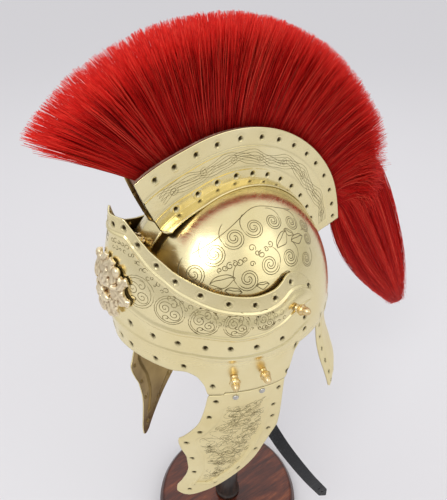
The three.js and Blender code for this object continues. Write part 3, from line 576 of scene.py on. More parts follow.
def mahogany():
    """Glossy red brown wood with long grain and a darker rim."""
    n = Nodes("mahogany", (0.2, 0.05, 0.02), roughness=0.28, Coat_Weight=0.45, Coat_Roughness=0.07,
              Specular_IOR_Level=0.25)
    grain = n.noise(9, 6, 0.65, place=n.stretched((9, 1, 9)), twist=0.8)
    fine = n.noise(90, 4, place=n.stretched((14, 1, 14)))
    both = n.math("ADD", n.math("MULTIPLY", grain, 0.75), n.math("MULTIPLY", fine, 0.25))
    tone = n.ramp(both, (0.4, (0.04, 0.007, 0.003)), (0.54, (0.12, 0.024, 0.008)),
                  (0.66, (0.26, 0.068, 0.02)))
    n.set("Base Color", n.mix(n.mark("dark"), tone, (0.022, 0.004, 0.003)))
    n.set("Normal", n.relief(both, 0.08, 0.0006))
    return n.material


def black_wood():
    n = Nodes("black_wood", (0.012, 0.009, 0.008), roughness=0.3, Coat_Weight=0.4, Coat_Roughness=0.12)
    grain = n.noise(40, 5, place=n.stretched((9, 9, 1)), twist=0.8)
    n.set("Base Color", n.ramp(grain, (0.35, (0.008, 0.006, 0.005)), (0.7, (0.045, 0.026, 0.018))))
    n.set("Normal", n.relief(grain, 0.12, 0.0006))
    return n.material


BRASS = brass_sheet()
INSIDE = brass_inside()
LINE = engraved_line()
CAST = cast_brass()
FINIAL = finial_brass()
STEEL = rivet_steel()
HAIR = red_hair()
WOOD = crest_wood()
LEATHER = black_leather()
MAHOGANY = mahogany()
BLACK_WOOD = black_wood()


# Camera, light and floor

LENS = 32.4
CAMERA_PLACE = Vector((0.3058, -0.2152, 0.7182))
CAMERA_AZIMUTH = math.radians(55.76)
CAMERA_ELEVATION = math.radians(33.76)
HELMET_MIDDLE = (0, 0, 0.45)


def make_camera():
    a, e = CAMERA_AZIMUTH, CAMERA_ELEVATION
    back = Vector((math.sin(a) * math.cos(e), -math.cos(a) * math.cos(e), math.sin(e)))
    right = Vector((math.cos(a), math.sin(a), 0))
    up = back.cross(right)
    data = bpy.data.cameras.new("camera")
    data.lens = LENS
    data.sensor_width = 36
    data.clip_start = 0.01
    camera = show("camera", data)
    turn = Matrix((right, up, back)).transposed().to_4x4()
    camera.matrix_world = Matrix.Translation(CAMERA_PLACE) @ turn
    bpy.context.scene.camera = camera


def area_light(name, place, size, power):
    """A square light in metres and watts that looks at the helmet's middle."""
    data = bpy.data.lights.new(name, "AREA")
    data.size = size
    data.energy = power
    light = show(name, data)
    light.location = place
    away = Vector(HELMET_MIDDLE) - Vector(place)
    light.rotation_euler = away.to_track_quat("-Z", "Y").to_euler()


def make_floor():
    half = 30
    corners = [(-half, -half, 0), (half, -half, 0), (half, half, 0), (-half, half, 0)]
    mesh = build_mesh("floor", corners, [[[0, 1, 2, 3]]])
    n = Nodes("floor_pale", (0.735, 0.725, 0.74), roughness=0.9, Specular_IOR_Level=0.0)
    mesh.materials.append(n.material)
    floor = show("floor", mesh)


def make_world():
    """A soft room: pale above, darker low down."""
    world = bpy.data.worlds.new("room")
    bpy.context.scene.world = world
    world.use_nodes = True
    tree = world.node_tree
    background = tree.nodes["Background"]
    place = tree.nodes.new("ShaderNodeTexCoord")
    parts = tree.nodes.new("ShaderNodeSeparateXYZ")
    ramp = tree.nodes.new("ShaderNodeValToRGB")
    tree.links.new(place.outputs["Generated"], parts.inputs[0])
    tree.links.new(parts.outputs["Z"], ramp.inputs["Fac"])
    for element, at, colour in zip(ramp.color_ramp.elements, (0.0, 0.6),
                                   ((0.5, 0.49, 0.47, 1), (0.86, 0.86, 0.88, 1))):
        element.position, element.color = at, colour
    tree.links.new(ramp.outputs["Color"], background.inputs["Color"])
    background.inputs["Strength"].default_value = 1.08


make_camera()
make_floor()
make_world()
area_light("key", (0.72, -1.12, 1.95), 0.85, 11)
area_light("side", (1.7, 0.9, 1.5), 1.6, 4)
area_light("fill", (-1.3, 0.9, 2.0), 1.6, 4)
bpy.context.scene.view_settings.view_transform = "Standard"


# Skull bowl

RIM_DIMPLE_ANGLES = np.arange(116, 245, 8.6)
RIM_DIMPLE_LEVEL = 5


def make_dome():
    columns = 420
    fine = np.linspace(-DOME_SKIRT, 12, 13)
    coarse = DOME_HEIGHT * np.sin(np.radians(np.linspace(6.2, 89.2, 52)))
    levels = np.concatenate([fine, coarse])
    angles = np.linspace(0, 360, columns, endpoint=False)
    outer = on_dome(angles[None, :], levels[:, None])
    rim = dome_normal(on_dome(angles, 0.0))[None]
    normals = np.where(levels[:, None, None] < 0, rim, dome_normal(outer))
    centres = on_dome(RIM_DIMPLE_ANGLES, RIM_DIMPLE_LEVEL, -SHEET / 2)
    sheet = sheet_grids(outer - normals * SHEET / 2, normals, centres)
    mesh, _ = sheets_mesh("dome_fine", [sheet], closed=True)
    work = bmesh.new()
    work.from_mesh(mesh)
    work.verts.ensure_lookup_table()
    starts = [len(levels) * side * columns - columns for side in (1, 2)]
    last = [[work.verts[start + i] for i in range(columns)] for start in starts]
    for ring, top in zip(last, (DOME_HEIGHT, DOME_HEIGHT - SHEET)):
        crown = work.verts.new(in_row_frame((0, DOME_SET_BACK, top)))
        for a, b in zip(ring, ring[1:] + ring[:1]):
            work.faces.new((a, b, crown))
    edge = set(last[0] + last[1])
    joins = [f for f in work.faces if len(f.verts) == 4 and edge.issuperset(f.verts)]
    bmesh.ops.delete(work, geom=joins, context="FACES_ONLY")
    work.to_mesh(mesh)
    work.free()
    face_outward(mesh)
    normals = np.zeros(len(mesh.polygons) * 3)
    centres = np.zeros(len(mesh.polygons) * 3)
    mesh.polygons.foreach_get("normal", normals)
    mesh.polygons.foreach_get("center", centres)
    away = centres.reshape(-1, 3) - in_row_frame((0, DOME_SET_BACK, 0))
    add_plate("dome", mesh, np.sum(normals.reshape(-1, 3) * away, -1) < 0)


make_dome()


# Brow band

BROW = table(
    "angle top upper lower foot",
    (0, 1.0, 0.45, 0.22, 0.09),
    (15.5, 1.0, 0.4, 0.17, 0.13),
    (21, 0.945, 0.37, 0.15, 0.17),
    (30, 0.825, 0.32, 0.125, 0.24),
    (35.5, 0.765, 0.3, 0.115, 0.28),
    (41, 0.7, 0.285, 0.105, 0.25),
    (46, 0.655, 0.28, 0.1, 0.38),
    (49, 0.63, 0.275, 0.09, 0.66),
    (51.5, 0.61, 0.27, 0.085, 1.0),
    (58, 0.565, 0.25, 0.07, 1.0),
    (66, 0.53, 0.23, 0.065, 1.0),
    (75, 0.51, 0.235, 0.07, 1.0),
    (82, 0.52, 0.26, 0.08, 1.0),
    (89.5, 0.555, 0.295, 0.1, 1.0),
    (91.5, 0.565, 0.305, 0.11, 0.72),
    (94, 0.57, 0.315, 0.125, 0.12),
    (99, 0.545, 0.32, 0.15, -0.17),
    (104, 0.49, 0.31, 0.16, -0.22),
    (109, 0.35, 0.24, 0.13, -0.18),
    (113, 0.08, 0.065, 0.05, -0.06),
)
TAB_FRONT = 51.5


def brow_levels(angle):
    """Levels of the band's top, bead, two ridges and foot at plan angles from the front."""
    at = np.abs(angle)
    value = {c: curve_at(BROW, "angle", c, at, even=True) for c in ("top", "upper", "lower", "foot")}
    top, upper, lower = (BROW_TOP * value[c] for c in ("top", "upper", "lower"))
    on_tab = (at < JOINT_STEP_ANGLE) & (at > TAB_FRONT - 1.2)
    foot = -JOINT_DROP * value["foot"] - np.where(on_tab, JOINT_STEP * ease(value["foot"] * 4 - 3), 0)
    bead = top - np.minimum(BROW_BORDER, (top - upper) * 0.45)
    return top, bead, upper, lower, foot


# Stations down one column of the band: between which lines, how far along, and the relief there.
BROW_STATIONS = [
    ("top", "bead", 0.0, 0.0, 12),
    ("top", "bead", 0.86, 0.0, 3),
    ("bead", "upper", 0.0, 0.75, 2),
    ("bead", "upper", 0.05, 0.3, 10),
    ("bead", "upper", 0.5, 1.0, 12),
    ("bead", "upper", 0.9, 0.4, 3),
    ("bead", "upper", 1.0, 0.95, 3),
    ("upper", "lower", 0.12, 0.25, 14),
    ("upper", "lower", 0.86, 0.2, 3),
    ("upper", "lower", 1.0, 0.8, 3),
    ("lower", "foot", 0.1, 0.1, 22),
    ("lower", "foot", 1.0, 0.0, 0),
]


def brow_column(angle):
    """Levels and relief down the band's columns, as arrays with a row for each step."""
    lines = dict(zip(("top", "bead", "upper", "lower", "foot"), brow_levels(angle)))
    flat = ease((HUG_END + 10 - np.abs(angle)) / 15)
    spots = [(lines[a] * (1 - s) + lines[b] * s, out * RELIEF_DEPTH * flat, count)
             for a, b, s, out, count in BROW_STATIONS]
    levels, outs = [], []
    for (z0, o0, count), (z1, o1, _) in zip(spots, spots[1:]):
        for u in np.arange(count) / count:
            levels.append(z0 * (1 - u) + z1 * u)
            outs.append(o0 + (o1 - o0) * ease(u))
    levels.append(spots[-1][0])
    outs.append(spots[-1][1])
    return np.array(levels), np.array(outs)


def brow_out(angle, level):
    """The band's relief at single points, for what lies on it."""
    angle, level = np.broadcast_arrays(np.asarray(angle, float), np.asarray(level, float))
    levels, outs = brow_column(angle.ravel())
    found = [np.interp(-z, -levels[:, i], outs[:, i]) for i, z in enumerate(level.ravel())]
    return np.array(found).reshape(angle.shape)


TOP_DIMPLE_ANGLES = [6, 16, 24, 33, 41, 51, 62, 73, 83, 94, 105]
STRIP_DIMPLES = [(17, 33), (29, 28), (40, 25), (51, 22), (61, 20), (72, 18), (85, 19), (99, 27)]
FOOT_DIMPLES = [(6, 8), (14, 5), (28, 0), (41, -2), (53, -26), (90.5, -27), (94, 2), (99, 14)]


def both_sides(spots):
    return [(s * a, z) for a, z in spots for s in ((1, -1) if a else (1,))]


def brow_dimples():
    spots = [(a, float(brow_levels(np.array([a]))[0][0]) - 7) for a in TOP_DIMPLE_ANGLES]
    spots += STRIP_DIMPLES + FOOT_DIMPLES
    return np.array([on_wrap(a, z, brow_out(a, z)) for a, z in both_sides(spots)])


def make_brow_band():
    half = np.concatenate([np.arange(0, 44, 0.62), np.arange(44, 60, 0.4), np.arange(60, 88, 0.62),
                           np.arange(88, 113.01, 0.5)])
    angles = np.concatenate([-half[:0:-1], half])
    levels, outs = brow_column(angles)
    middle = on_wrap(angles[None, :], levels, outs)
    sheet = sheet_grids(middle, -grid_normals(middle), brow_dimples())
    add_plate("brow_band", *sheets_mesh("brow_band_fine", [sheet]))


make_brow_band()


# Cheek guards

GUARD = table(
    "share front rear",
    (0.008, 51.7, 89.4),
    (0.05, 51, 89.5),
    (0.11, 50.6, 89.8),
    (0.17, 50, 90.2),
    (0.24, 48.8, 90.6),
    (0.305, 46, 91),
    (0.355, 42.8, 91),
    (0.39, 40, 91),
    (0.41, 40, 90.7),
    (0.49, 41.3, 88.5),
    (0.575, 43, 86),
    (0.67, 43, 81.5),
    (0.745, 41.8, 75.5),
    (0.84, 38, 65),
    (0.92, 34.2, 55),
    (0.965, 33.8, 48),
    (0.99, 36, 43.5),
    (1, 38.3, 41),
)
GUARD_DIMPLES = [(55, -48), (53, -71), (50, -96), (44, -116), (46, -148), (46, -178), (42, -217),
                 (85, -72), (86, -119), (80, -154), (70, -181), (57, -202), (86, -46), (86.5, -95)]
GUARD_BORDER = 12
GUARD_SEAM = 0.008  # share of the length where the plate starts, under its seam


def guard_edges(level):
    share = (-JOINT_DROP - level) / GUARD_LENGTH
    return [curve_at(GUARD, "share", c, share, even=True) for c in ("front", "rear")]


def guard_out(angle, level):
    """Relief of a cheek guard: a sunk field in the border, with a ridge along its lower rear edge."""
    front, rear = guard_edges(level)
    mm = np.pi / 180 * HALF_WIDTH
    below = -JOINT_DROP - level
    slant = 0.8
    near_front = (angle - front) * mm * slant
    near_rear = (rear - angle) * mm * slant
    inside = np.minimum(np.minimum(near_front, near_rear), below - 12)
    inside = np.minimum(inside, GUARD_LENGTH - below - 14)
    field = ease((inside - GUARD_BORDER + 1.0) / 2.0)
    low = ease((below - 60) / 30) * ease((near_front - near_rear + 30) / 20)
    return -1.2 * field + 1.5 * low * bump(inside - GUARD_BORDER + 0.9, 1.2)


def make_cheek_guard(side, name):
    share = GUARD_SEAM + (1 - GUARD_SEAM) * np.linspace(0, 1, 176)[:, None]
    front, rear = (curve_at(GUARD, "share", c, share, even=True) for c in ("front", "rear"))
    angles = front + (rear - front) * np.linspace(0, 1, 62)
    step = np.where(angles < JOINT_STEP_ANGLE, JOINT_STEP, 0) * ease(1 - (share - GUARD_SEAM) / 0.03)
    levels = -JOINT_DROP - share * GUARD_LENGTH - step
    middle = on_wrap(angles, levels, guard_out(angles, levels))
    centres = np.array([on_wrap(a, z, guard_out(np.array(a), np.array(z))) for a, z in GUARD_DIMPLES])
    normals = -grid_normals(middle)
    if side < 0:
        flip = np.array([-1, 1, 1])
        middle, normals, centres = middle * flip, normals * flip, centres * flip
    mesh, kinds = sheets_mesh(name + "_fine", [sheet_grids(middle, normals, centres)])
    face_outward(mesh)
    add_plate(name, mesh, kinds, name)


make_cheek_guard(1, "cheek_guard_left")
make_cheek_guard(-1, "cheek_guard_right")


# Neck guard

NECK = table(
    "share flare",
    (0, 0), (0.12, 0.04), (0.3, 0.15), (0.5, 0.38), (0.7, 0.7), (0.86, 0.93), (0.95, 0.99), (1, 1),
)
NECK_EDGE_SLANT = 5
NECK_CORNER_ANGLE = 7


def neck_point(u, level):
    """A point of the neck guard's middle: u runs from its left edge round the back to its right."""
    u, level = np.broadcast_arrays(np.asarray(u, float), np.asarray(level, float))
    share = np.clip((-DOME_SKIRT - level) / (NECK_DROP - DOME_SKIRT), 0, 1)
    flare = 1 + NECK_FLARE * curve_at(NECK, "share", "flare", share)
    start = NECK_EDGE_ANGLE + NECK_EDGE_SLANT * share + NECK_CORNER_ANGLE * (
        1 - np.sqrt(1 - np.clip((share - 0.86) / 0.14, 0, 1) ** 2))
    angle = np.radians(start + (360 - 2 * start) * u)
    bowl = np.sqrt(1 - (np.maximum(level, 0) / DOME_HEIGHT) ** 2)
    inset = SHEET * 1.5 + FLAT_ROOM
    x = (HALF_WIDTH * bowl * flare - inset) * np.sin(angle)
    y = DOME_SET_BACK - (HALF_LENGTH * bowl * flare - inset) * np.cos(angle)
    return np.stack([x, y, level], -1)


def make_neck_guard():
    overlap = np.linspace(NECK_OVERLAP, -DOME_SKIRT, 5)
    levels = np.concatenate([overlap, np.linspace(-4, -NECK_DROP, 80)])
    u = np.linspace(0, 1, 230)
    middle = neck_point(u[None, :], levels[:, None])
    normals = grid_normals(middle)
    outward = np.sign(np.sum(normals * (middle - (0, DOME_SET_BACK, 0)) * (1, 1, 0), -1, keepdims=True))
    normals = normals * outward
    edge = 0.033
    side_levels = [-14, -31, -48, -65, -82, -97]
    spots = [(s, z) for z in side_levels for s in (edge, 1 - edge)]
    spots += [(s, -NECK_DROP + 8) for s in np.linspace(0.1, 0.9, 12)]
    centres = np.array([neck_point(s, z) for s, z in spots])
    border = np.minimum(np.minimum(u, 1 - u)[None, :] * 215, NECK_DROP + levels[:, None])
    middle = middle + normals * (0.7 * bump(border - 13.5, 0.9))[..., None]
    mesh, kinds = sheets_mesh("neck_guard_fine", [sheet_grids(middle, normals, centres)])
    face_outward(mesh)
    add_plate("neck_guard", mesh, kinds)


make_neck_guard()


# Crest box

CREST_TOP_DIMPLES = [-29, -22, -14, -6, 3, 12, 20, 28, 36, 43, 51, 59, 66, 72]
CREST_LOW_DIMPLES = [-29, -18, -8, 2, 11, 20, 29, 38, 47, 56, 64, 71]
TOP_STRIP = 17
LOW_STRIP = 12
FLANGE_CORNER = 8


def crest_side_path(steps_flange, steps_wall):
    """One side of the crest, from the flange's outer edge in to the wall's foot and up to its top."""
    flange = [(1 - s, 0.0) for s in np.linspace(0, 1, steps_flange)]
    wall = [(0.0, s) for s in np.linspace(0, 1, steps_wall)[1:]]
    return np.array(flange + wall)


def crest_side(side, u, foot, top):
    """One wall of the crest with its flange: the outer and the inner grid, and how dark it is."""
    wall = CREST_WIDTH / 2
    path = crest_side_path(12, 48)
    on_wall = path[:, 1:] > 0
    across = wall - SHEET / 2 + path[:, :1] * FLANGE_WIDTH
    above = SHEET / 2 + path[:, 1:] * (top - foot - SHEET / 2)
    height = foot + above
    corner = np.maximum(across - (wall + FLANGE_WIDTH - FLANGE_CORNER), 0) / FLANGE_CORNER
    slip = np.degrees(FLANGE_CORNER / HALF_LENGTH) * (1 - np.sqrt(np.maximum(1 - corner ** 2, 0)))
    angle = crest_angle(u, above) + slip * (1 - u) ** 3
    bead = 0.8 * bump(top - height - TOP_STRIP, 0.9) + 0.8 * bump(above - LOW_STRIP, 0.9)
    x = across + (bead + 0.4 * bump(above, 1.8)) * on_wall
    middle = over_dome(angle, side * x, height)
    normals = grid_normals(middle)
    upward = unit(middle - (0, DOME_SET_BACK, 0))
    outward = np.where(on_wall[..., None], np.array([side, 0.0, 0.0]), upward)
    normals = normals * np.sign(np.sum(normals * outward, -1, keepdims=True) + 1e-9)
    spots = [(a, float(wall_top_at(a)) - 8.5) for a in CREST_TOP_DIMPLES]
    spots += [(a, float(lift_at(a)) + 6) for a in CREST_LOW_DIMPLES]
    centres = np.array([over_dome(a, side * (wall - SHEET / 2), h) for a, h in spots])
    return sheet_grids(middle, normals, centres)


def crest_floor(angle, x):
    """A strip of the crest's floor over the bowl."""
    outer, inner = (over_dome(angle, x, lift_at(angle) + up) for up in (SHEET, 0))
    return outer, inner, np.zeros(outer.shape[:2])


def make_crest_box():
    u = np.linspace(0, 1, 250)[None, :]
    foot = lift_at(crest_angle(u, 0))
    top = wall_top_at(crest_angle(u, CREST_HEIGHT))
    half = CREST_WIDTH / 2 - SHEET * 0.9
    tongue = np.linspace(CREST_FOOT_ANGLE + 3, TONGUE_ANGLE, 26)[None, :]
    mesh, kinds = sheets_mesh("crest_box_fine", [
        crest_side(1, u, foot, top),
        crest_side(-1, u, foot, top),
        crest_floor(crest_angle(u, 0), np.linspace(-half, half, 7)[:, None]),
        crest_floor(tongue, np.linspace(-1, 1, 25)[:, None] * TONGUE_WIDTH / 2),
    ])
    face_outward(mesh)
    add_plate("crest_box", mesh, kinds)


make_crest_box()


def make_crest_block():
    half = CREST_WIDTH / 2 - SHEET - FIT
    u = np.linspace(0.004, 0.996, 160)[None, :]
    top = wall_top_at(crest_angle(u, CREST_HEIGHT)) - BLOCK_BELOW_WALL
    bottom = lift_at(crest_angle(u, 0)) + SHEET + 2 * FIT
    section = np.array([(half, 0), (half, 0.95), (half - 0.9, 1), (0.9 - half, 1), (-half, 0.95),
                        (-half, 0)])
    h = bottom + section[:, 1:] * (top - bottom)
    points = over_dome(crest_angle(u, h), section[:, :1], h)
    mesh = bar_mesh("crest_block_fine", points.swapaxes(0, 1))
    add_piece("crest_block_fine", mesh, [WOOD], "root", ["crest_block"], smooth=False)


make_crest_block()


# Plume

FAN = table(
    "root lean length",
    (-33, -56, 1.0), (-20, -29, 1.05), (0, -2, 1.03), (20, 22, 0.96), (40, 44, 0.9), (58, 56, 0.93),
    (71, 69, 0.93),
)
TAIL = table(
    "at inner_back inner_drop outer_back outer_drop thick",
    (0, 0.005, 0.04, 0.16, -0.34, 0.42),
    (1, 0.04, 0.16, 0.34, -0.22, 0.62),
    (2, 0.16, 0.32, 0.48, -0.02, 0.75),
    (3, 0.36, 0.54, 0.68, 0.26, 0.75),
    (4, 0.62, 0.76, 0.86, 0.56, 0.62),
    (5, 0.84, 0.93, 0.97, 0.82, 0.42),
    (6, 0.96, 1.0, 1.0, 0.99, 0.15),
)


ROOT_HALF = 5.4  # the hairs' roots stand this far to each side at most


def hair_root(root, x):
    return over_dome(root, x, wall_top_at(root) - BLOCK_BELOW_WALL - 0.5)


def fan_strands(first, last, count, rings=5):
    """Strands of the fan between two root angles, in loose clumps. The last ones droop into the tail."""
    root = rng.uniform(first, last, count)
    x0 = rng.uniform(-ROOT_HALF, ROOT_HALF, count)
    clump = np.floor(root * 1.4) + 7 * np.floor(x0 / 3)
    clump_noise = np.sin(clump * 12.9898) * 43758.5453 % 1
    lean = curve_at(FAN, "root", "lean", root) + rng.normal(0, 1.5, count) + (clump_noise - 0.5) * 2.4
    length = curve_at(FAN, "root", "length", root) * HAIR_LENGTH
    length = length * (1.0 - 0.1 * rng.random(count) ** 2 + 0.02 * (clump_noise - 0.5))
    droop = ease((root - 50) / 21)
    length = length * (1 - 0.3 * droop * rng.random(count))
    x1 = x0 / ROOT_HALF * HAIR_SPREAD * 0.92 + rng.normal(0, 2.6, count)
    x1 = np.clip(x1, -1.08 * HAIR_SPREAD, 1.08 * HAIR_SPREAD)
    length = length * np.sqrt(np.maximum(1 - 0.1 * (x1 / HAIR_SPREAD) ** 2, 0.5))
    t = np.linspace(0, 1, rings)[None, :]
    start = hair_root(root, x0)
    bend = rng.normal(0, 1.2, (count, 1)) * np.sin(np.pi * t)
    fall = 4 + droop * rng.uniform(10, 100, count)
    angle = np.radians(lean)[:, None] + np.radians(fall)[:, None] * t ** 2 * np.sign(lean)[:, None]
    step = length[:, None] / (rings - 1)
    y = np.concatenate([0 * step, np.cumsum(step * np.sin(angle[:, 1:]), axis=1)], axis=1)
    z = np.concatenate([0 * step, np.cumsum(step * np.cos(angle[:, 1:]), axis=1)], axis=1)
    x = (x1 - x0)[:, None] * t ** 1.35
    path = start[:, None] + np.stack([x, y + bend, z], -1)
    radii = (0.3 + 0.1 * rng.random((count, 1))) * np.linspace(1.0, 0.35, rings)[None, :]
    tint = np.clip(0.46 + 0.16 * (clump_noise - 0.5) + rng.normal(0, 0.24, count), 0, 1)
    return path, radii, tint


def tail_strands(count, rings=11):
    """Strands that follow the fan's last hairs, then turn down and hang behind the crest."""
    last = CREST_REAR_ANGLE - 2
    end = over_dome(last, 0, wall_top_at(last) - BLOCK_BELOW_WALL + FIT)
    s = rng.random(count)[:, None]
    reach = 1 - 0.2 * rng.random((count, 1)) ** 2
    at = np.linspace(0, 1, rings - 2)[None, :] * 6 * reach
    inner = [curve_at(TAIL, "at", c, at) for c in ("inner_back", "inner_drop")]
    outer = [curve_at(TAIL, "at", c, at) for c in ("outer_back", "outer_drop")]
    back = (inner[0] * (1 - s) + outer[0] * s) * TAIL_REACH
    drop = (inner[1] * (1 - s) + outer[1] * s) * TAIL_DROP
    thick = curve_at(TAIL, "at", "thick", at) * HAIR_SPREAD
    side = rng.uniform(-1, 1, (count, 1)) * np.sqrt(1 - (2 * s - 1) ** 2 * 0.8)
    u = np.linspace(0, 1, rings - 2)[None, :]
    sway = 3.0 * np.sin(8 * u + 9 * s + rng.normal(0, 0.8, (count, 1))) * u
    wobble = rng.normal(0, 2.4, (count, 1)) * u + sway
    hang = [side * thick + wobble * 0.6, end[1] + 2 + back + wobble, end[2] - drop + wobble * 0.5]
    hang = np.stack(hang, -1)
    root = 73 - 16 * s[:, 0] ** 0.8 - 3 * rng.random(count)
    start = hair_root(root, side[:, 0] * ROOT_HALF)
    first = hang[:, 0]
    path = np.concatenate([start[:, None], (0.5 * start + 0.5 * first)[:, None], hang], axis=1)
    path[:, 1:3, 2] += 1 + 5 * s + rng.normal(0, 2.5, (count, 1))
    for _ in range(3):
        path[:, 1:-1] = 0.25 * path[:, :-2] + 0.5 * path[:, 1:-1] + 0.25 * path[:, 2:]
    radii = (0.32 + 0.1 * rng.random((count, 1))) * np.linspace(1.0, 0.3, rings)[None, :]
    tint = 0.46 + 0.16 * np.sin(23 * s[:, 0] + 5 * side[:, 0]) + rng.normal(0, 0.16, count)
    tint = np.clip(tint, 0, 1)
    return path, radii, tint


def stray_strands(count, rings=8):
    """A few loose hairs that stand out from the tail and the fan's rear."""
    path, radii, tint = tail_strands(count, rings)
    u = np.linspace(0, 1, rings)[None, :, None]
    push = np.clip(rng.normal(0, 1, (count, 1, 3)), -1.6, 1.6) * (4, 6, 5)
    return path + push * u ** 2, radii * 0.6, np.clip(tint + 0.1, 0, 1)


def hair_piece(name, path, radii, tint):
    points, quads, caps = tubes(path, radii, 3)
    n, k = radii.shape
    marks = {"tint": np.repeat(tint, k * 3), "along": np.tile(np.repeat(np.linspace(0, 1, k), 3), n)}
    mesh = build_mesh(name, in_row_frame(points), [quads, caps], marks)
    add_piece(name, mesh, [HAIR], "root", ["plume"])


def make_plume():
    spans = [("front", -33, -8), ("middle", -8, 24), ("rear", 24, 71)]
    share = 1.0
    for name, first, last in spans:
        hair_piece(f"plume_{name}", *fan_strands(first, last, int(share * 165 * (last - first))))
    hair_piece("plume_tail", *tail_strands(int(share * 3400)))
    hair_piece("plume_stray", *stray_strands(int(share * 160)))


make_plume()


def make_hair_core():
    """The dense hair under the strands: one closed body a little inside them."""
    roots = np.linspace(-31.5, 70, 60)
    rows = []
    lean = np.radians(curve_at(FAN, "root", "lean", roots))
    way = np.stack([0 * lean, np.sin(lean), np.cos(lean)], -1)
    for share, half in ((0.0, 4.2), (0.3, 0.26 * HAIR_SPREAD), (0.6, 0.38 * HAIR_SPREAD),
                        (0.8, 0.46 * HAIR_SPREAD)):
        length = curve_at(FAN, "root", "length", roots) * HAIR_LENGTH * share
        rows.append((hair_root(roots, 0.0) + way * length[:, None], half))
    ring = [p + (half, 0, 0) for p, half in rows] + [p - (half, 0, 0) for p, half in rows[::-1]]
    count = len(ring) * len(roots)
    # The core gets a dark red from the same marks: painted shade of the plume's depth.
    marks = {"tint": np.full(count, 0.1), "along": np.full(count, 0.2)}
    mesh = bar_mesh("plume_core", np.stack(ring, 1), marks)
    add_piece("plume_core", mesh, [HAIR], "root", ["plume"])


make_hair_core()


# Engraving: fine chased lines, laid on the sheet as thin raised lines whose dark colour is painted shade
# of a groove

def spiral(radius, turns, start=0.0, hand=1, inner=0.1, count=None):
    """A flat spiral about the origin, from its outer end inward."""
    t = np.linspace(0, 1, count or int(14 * turns) + 6)
    r = radius * (1 - (1 - inner) * t)
    a = start + hand * 2 * np.pi * turns * t
    return np.stack([r * np.cos(a), r * np.sin(a)], -1)


def engrave(name, strokes, surface, width, body):
    """Lines along strokes. surface gives points and outward normals for an array of stroke points."""
    parts, quads, caps, offset = [], [], [], 0
    for stroke in strokes:
        p, normal = surface(stroke)
        side = unit(np.cross(normal, np.gradient(p, axis=0)))
        taper = np.ones(len(p))
        taper[[0, -1]] = 0.35
        half = (width / 2 * taper)[:, None]
        low = p - normal * 0.15
        ring = np.stack([low + side * half, p + normal * 0.14, low - side * half], 1)
        parts.append(ring.reshape(-1, 3))
        found, ends = ring_faces(len(p), 3)
        quads.append(found + offset)
        caps.append(ends + offset)
        offset += 3 * len(p)
    faces = [np.concatenate(quads), np.concatenate(caps)]
    mesh = build_mesh(name, in_row_frame(np.concatenate(parts)), faces)
    face_outward(mesh)
    add_piece(name, mesh, [LINE], body)


def around_dome(angle, height):
    """A surface near a spot of the bowl: strokes in millimetres along it and up it."""
    spot = on_dome(angle, height)
    normal = dome_normal(spot)
    along = unit(np.cross(np.array([0.0, 0.0, 1.0]), normal))
    up = np.cross(normal, along)
    return lambda s: spot + s[:, :1] * along + s[:, 1:2] * up


# Scrolls on the bowl's left side: plan angle, height, radius, turning hand and opening angle.
SCROLLS = table(
    "angle height radius hand opening",
    (39.9, 78.8, 11.5, 1, 3.6),
    (50.8, 92.9, 11, 1, 3.6),
    (64.2, 102.1, 10.5, 1, 3.4),
    (81.4, 106.1, 10, 1, 3.2),
    (100.8, 105.8, 9, -1, 0.2),
    (116.7, 99.1, 8.5, -1, 0.0),
    (127.4, 90.4, 7.5, -1, -0.2),
    (70.4, 74.7, 10.5, 1, 3.4),
    (84.7, 81.2, 10, -1, -0.2),
    (99.7, 80.2, 9.5, -1, -0.4),
    (111.8, 71.2, 8, -1, -0.8),
    (121.8, 82.1, 7, -1, 0.5),
)
# Leafy loops and short curls between the scrolls: plan angle, height, slant and length.
LEAVES = table(
    "angle height slant length",
    (56.3, 75.1, 0.2, 22), (52, 66, 0.5, 16), (62, 67, -0.2, 15), (99.4, 93.5, 0.5, 20),
    (112, 88, -0.2, 18), (108, 95, -0.9, 12), (46, 68, 0.7, 13), (92, 69, 0.1, 14), (78, 68, -0.1, 12),
)
CURLS = table(
    "angle height size",
    (57.5, 84, 2.6), (60.5, 85.2, 3.2), (63.5, 86.4, 2.6), (66.6, 87.1, 3.2), (70, 88, 2.4),
    (75.6, 94.6, 3.4), (78.5, 91, 2.6), (81.2, 89.3, 3.4), (85, 91.5, 2.4), (89, 94, 3.0),
    (54.5, 82.5, 2.2), (74, 84.5, 2.6),
)


def rows_of(columns):
    return zip(*columns.values())


def dome_strokes():
    """Two running rows of scrolls over each ear, with loops and short curls between them."""
    strokes = []
    for angle, height, radius, hand, opening in rows_of(SCROLLS):
        place = around_dome(angle, height)
        strokes.append(place(spiral(radius, 1.75, opening, hand, 0.14)))
        strokes.append(place(spiral(radius * 0.8, 1.5, opening + 0.1, hand, 0.08)))
        sweep = np.linspace(opening - hand * 1.3, opening, 9)[:, None]
        out = radius * np.linspace(1.5, 1.0, 9)[:, None]
        strokes.append(place(np.concatenate([out * np.cos(sweep), out * np.sin(sweep)], -1)))
    for angle, height, slant, length in rows_of(LEAVES):
        place = around_dome(angle, height)
        t = np.linspace(0, 1, 16)[:, None]
        for bend in (-0.24, 0.24, 0.08):
            x = (t - 0.5) * length
            y = bend * length * np.sin(np.pi * t) + 0.5 * np.sin(3 * np.pi * t)
            c, s = math.cos(slant), math.sin(slant)
            strokes.append(place(np.concatenate([c * x - s * y, s * x + c * y], -1)))
    for i, (angle, height, size) in enumerate(rows_of(CURLS)):
        strokes.append(around_dome(angle, height)(spiral(size, 1.2, 1.1 * i, 1 if i % 2 else -1, 0.3)))
    border = np.linspace(36, 128, 60)
    top = 92 + 24 * np.sin(np.radians((border - 36) / 92 * 150))
    strokes.append(on_dome(border, top))
    return strokes + [s * (-1, 1, 1) for s in strokes]


def dome_surface(points):
    p = to_dome(points)
    return p, dome_normal(p)


engrave("dome_engraving", dome_strokes(), dome_surface, 1.4, "root")


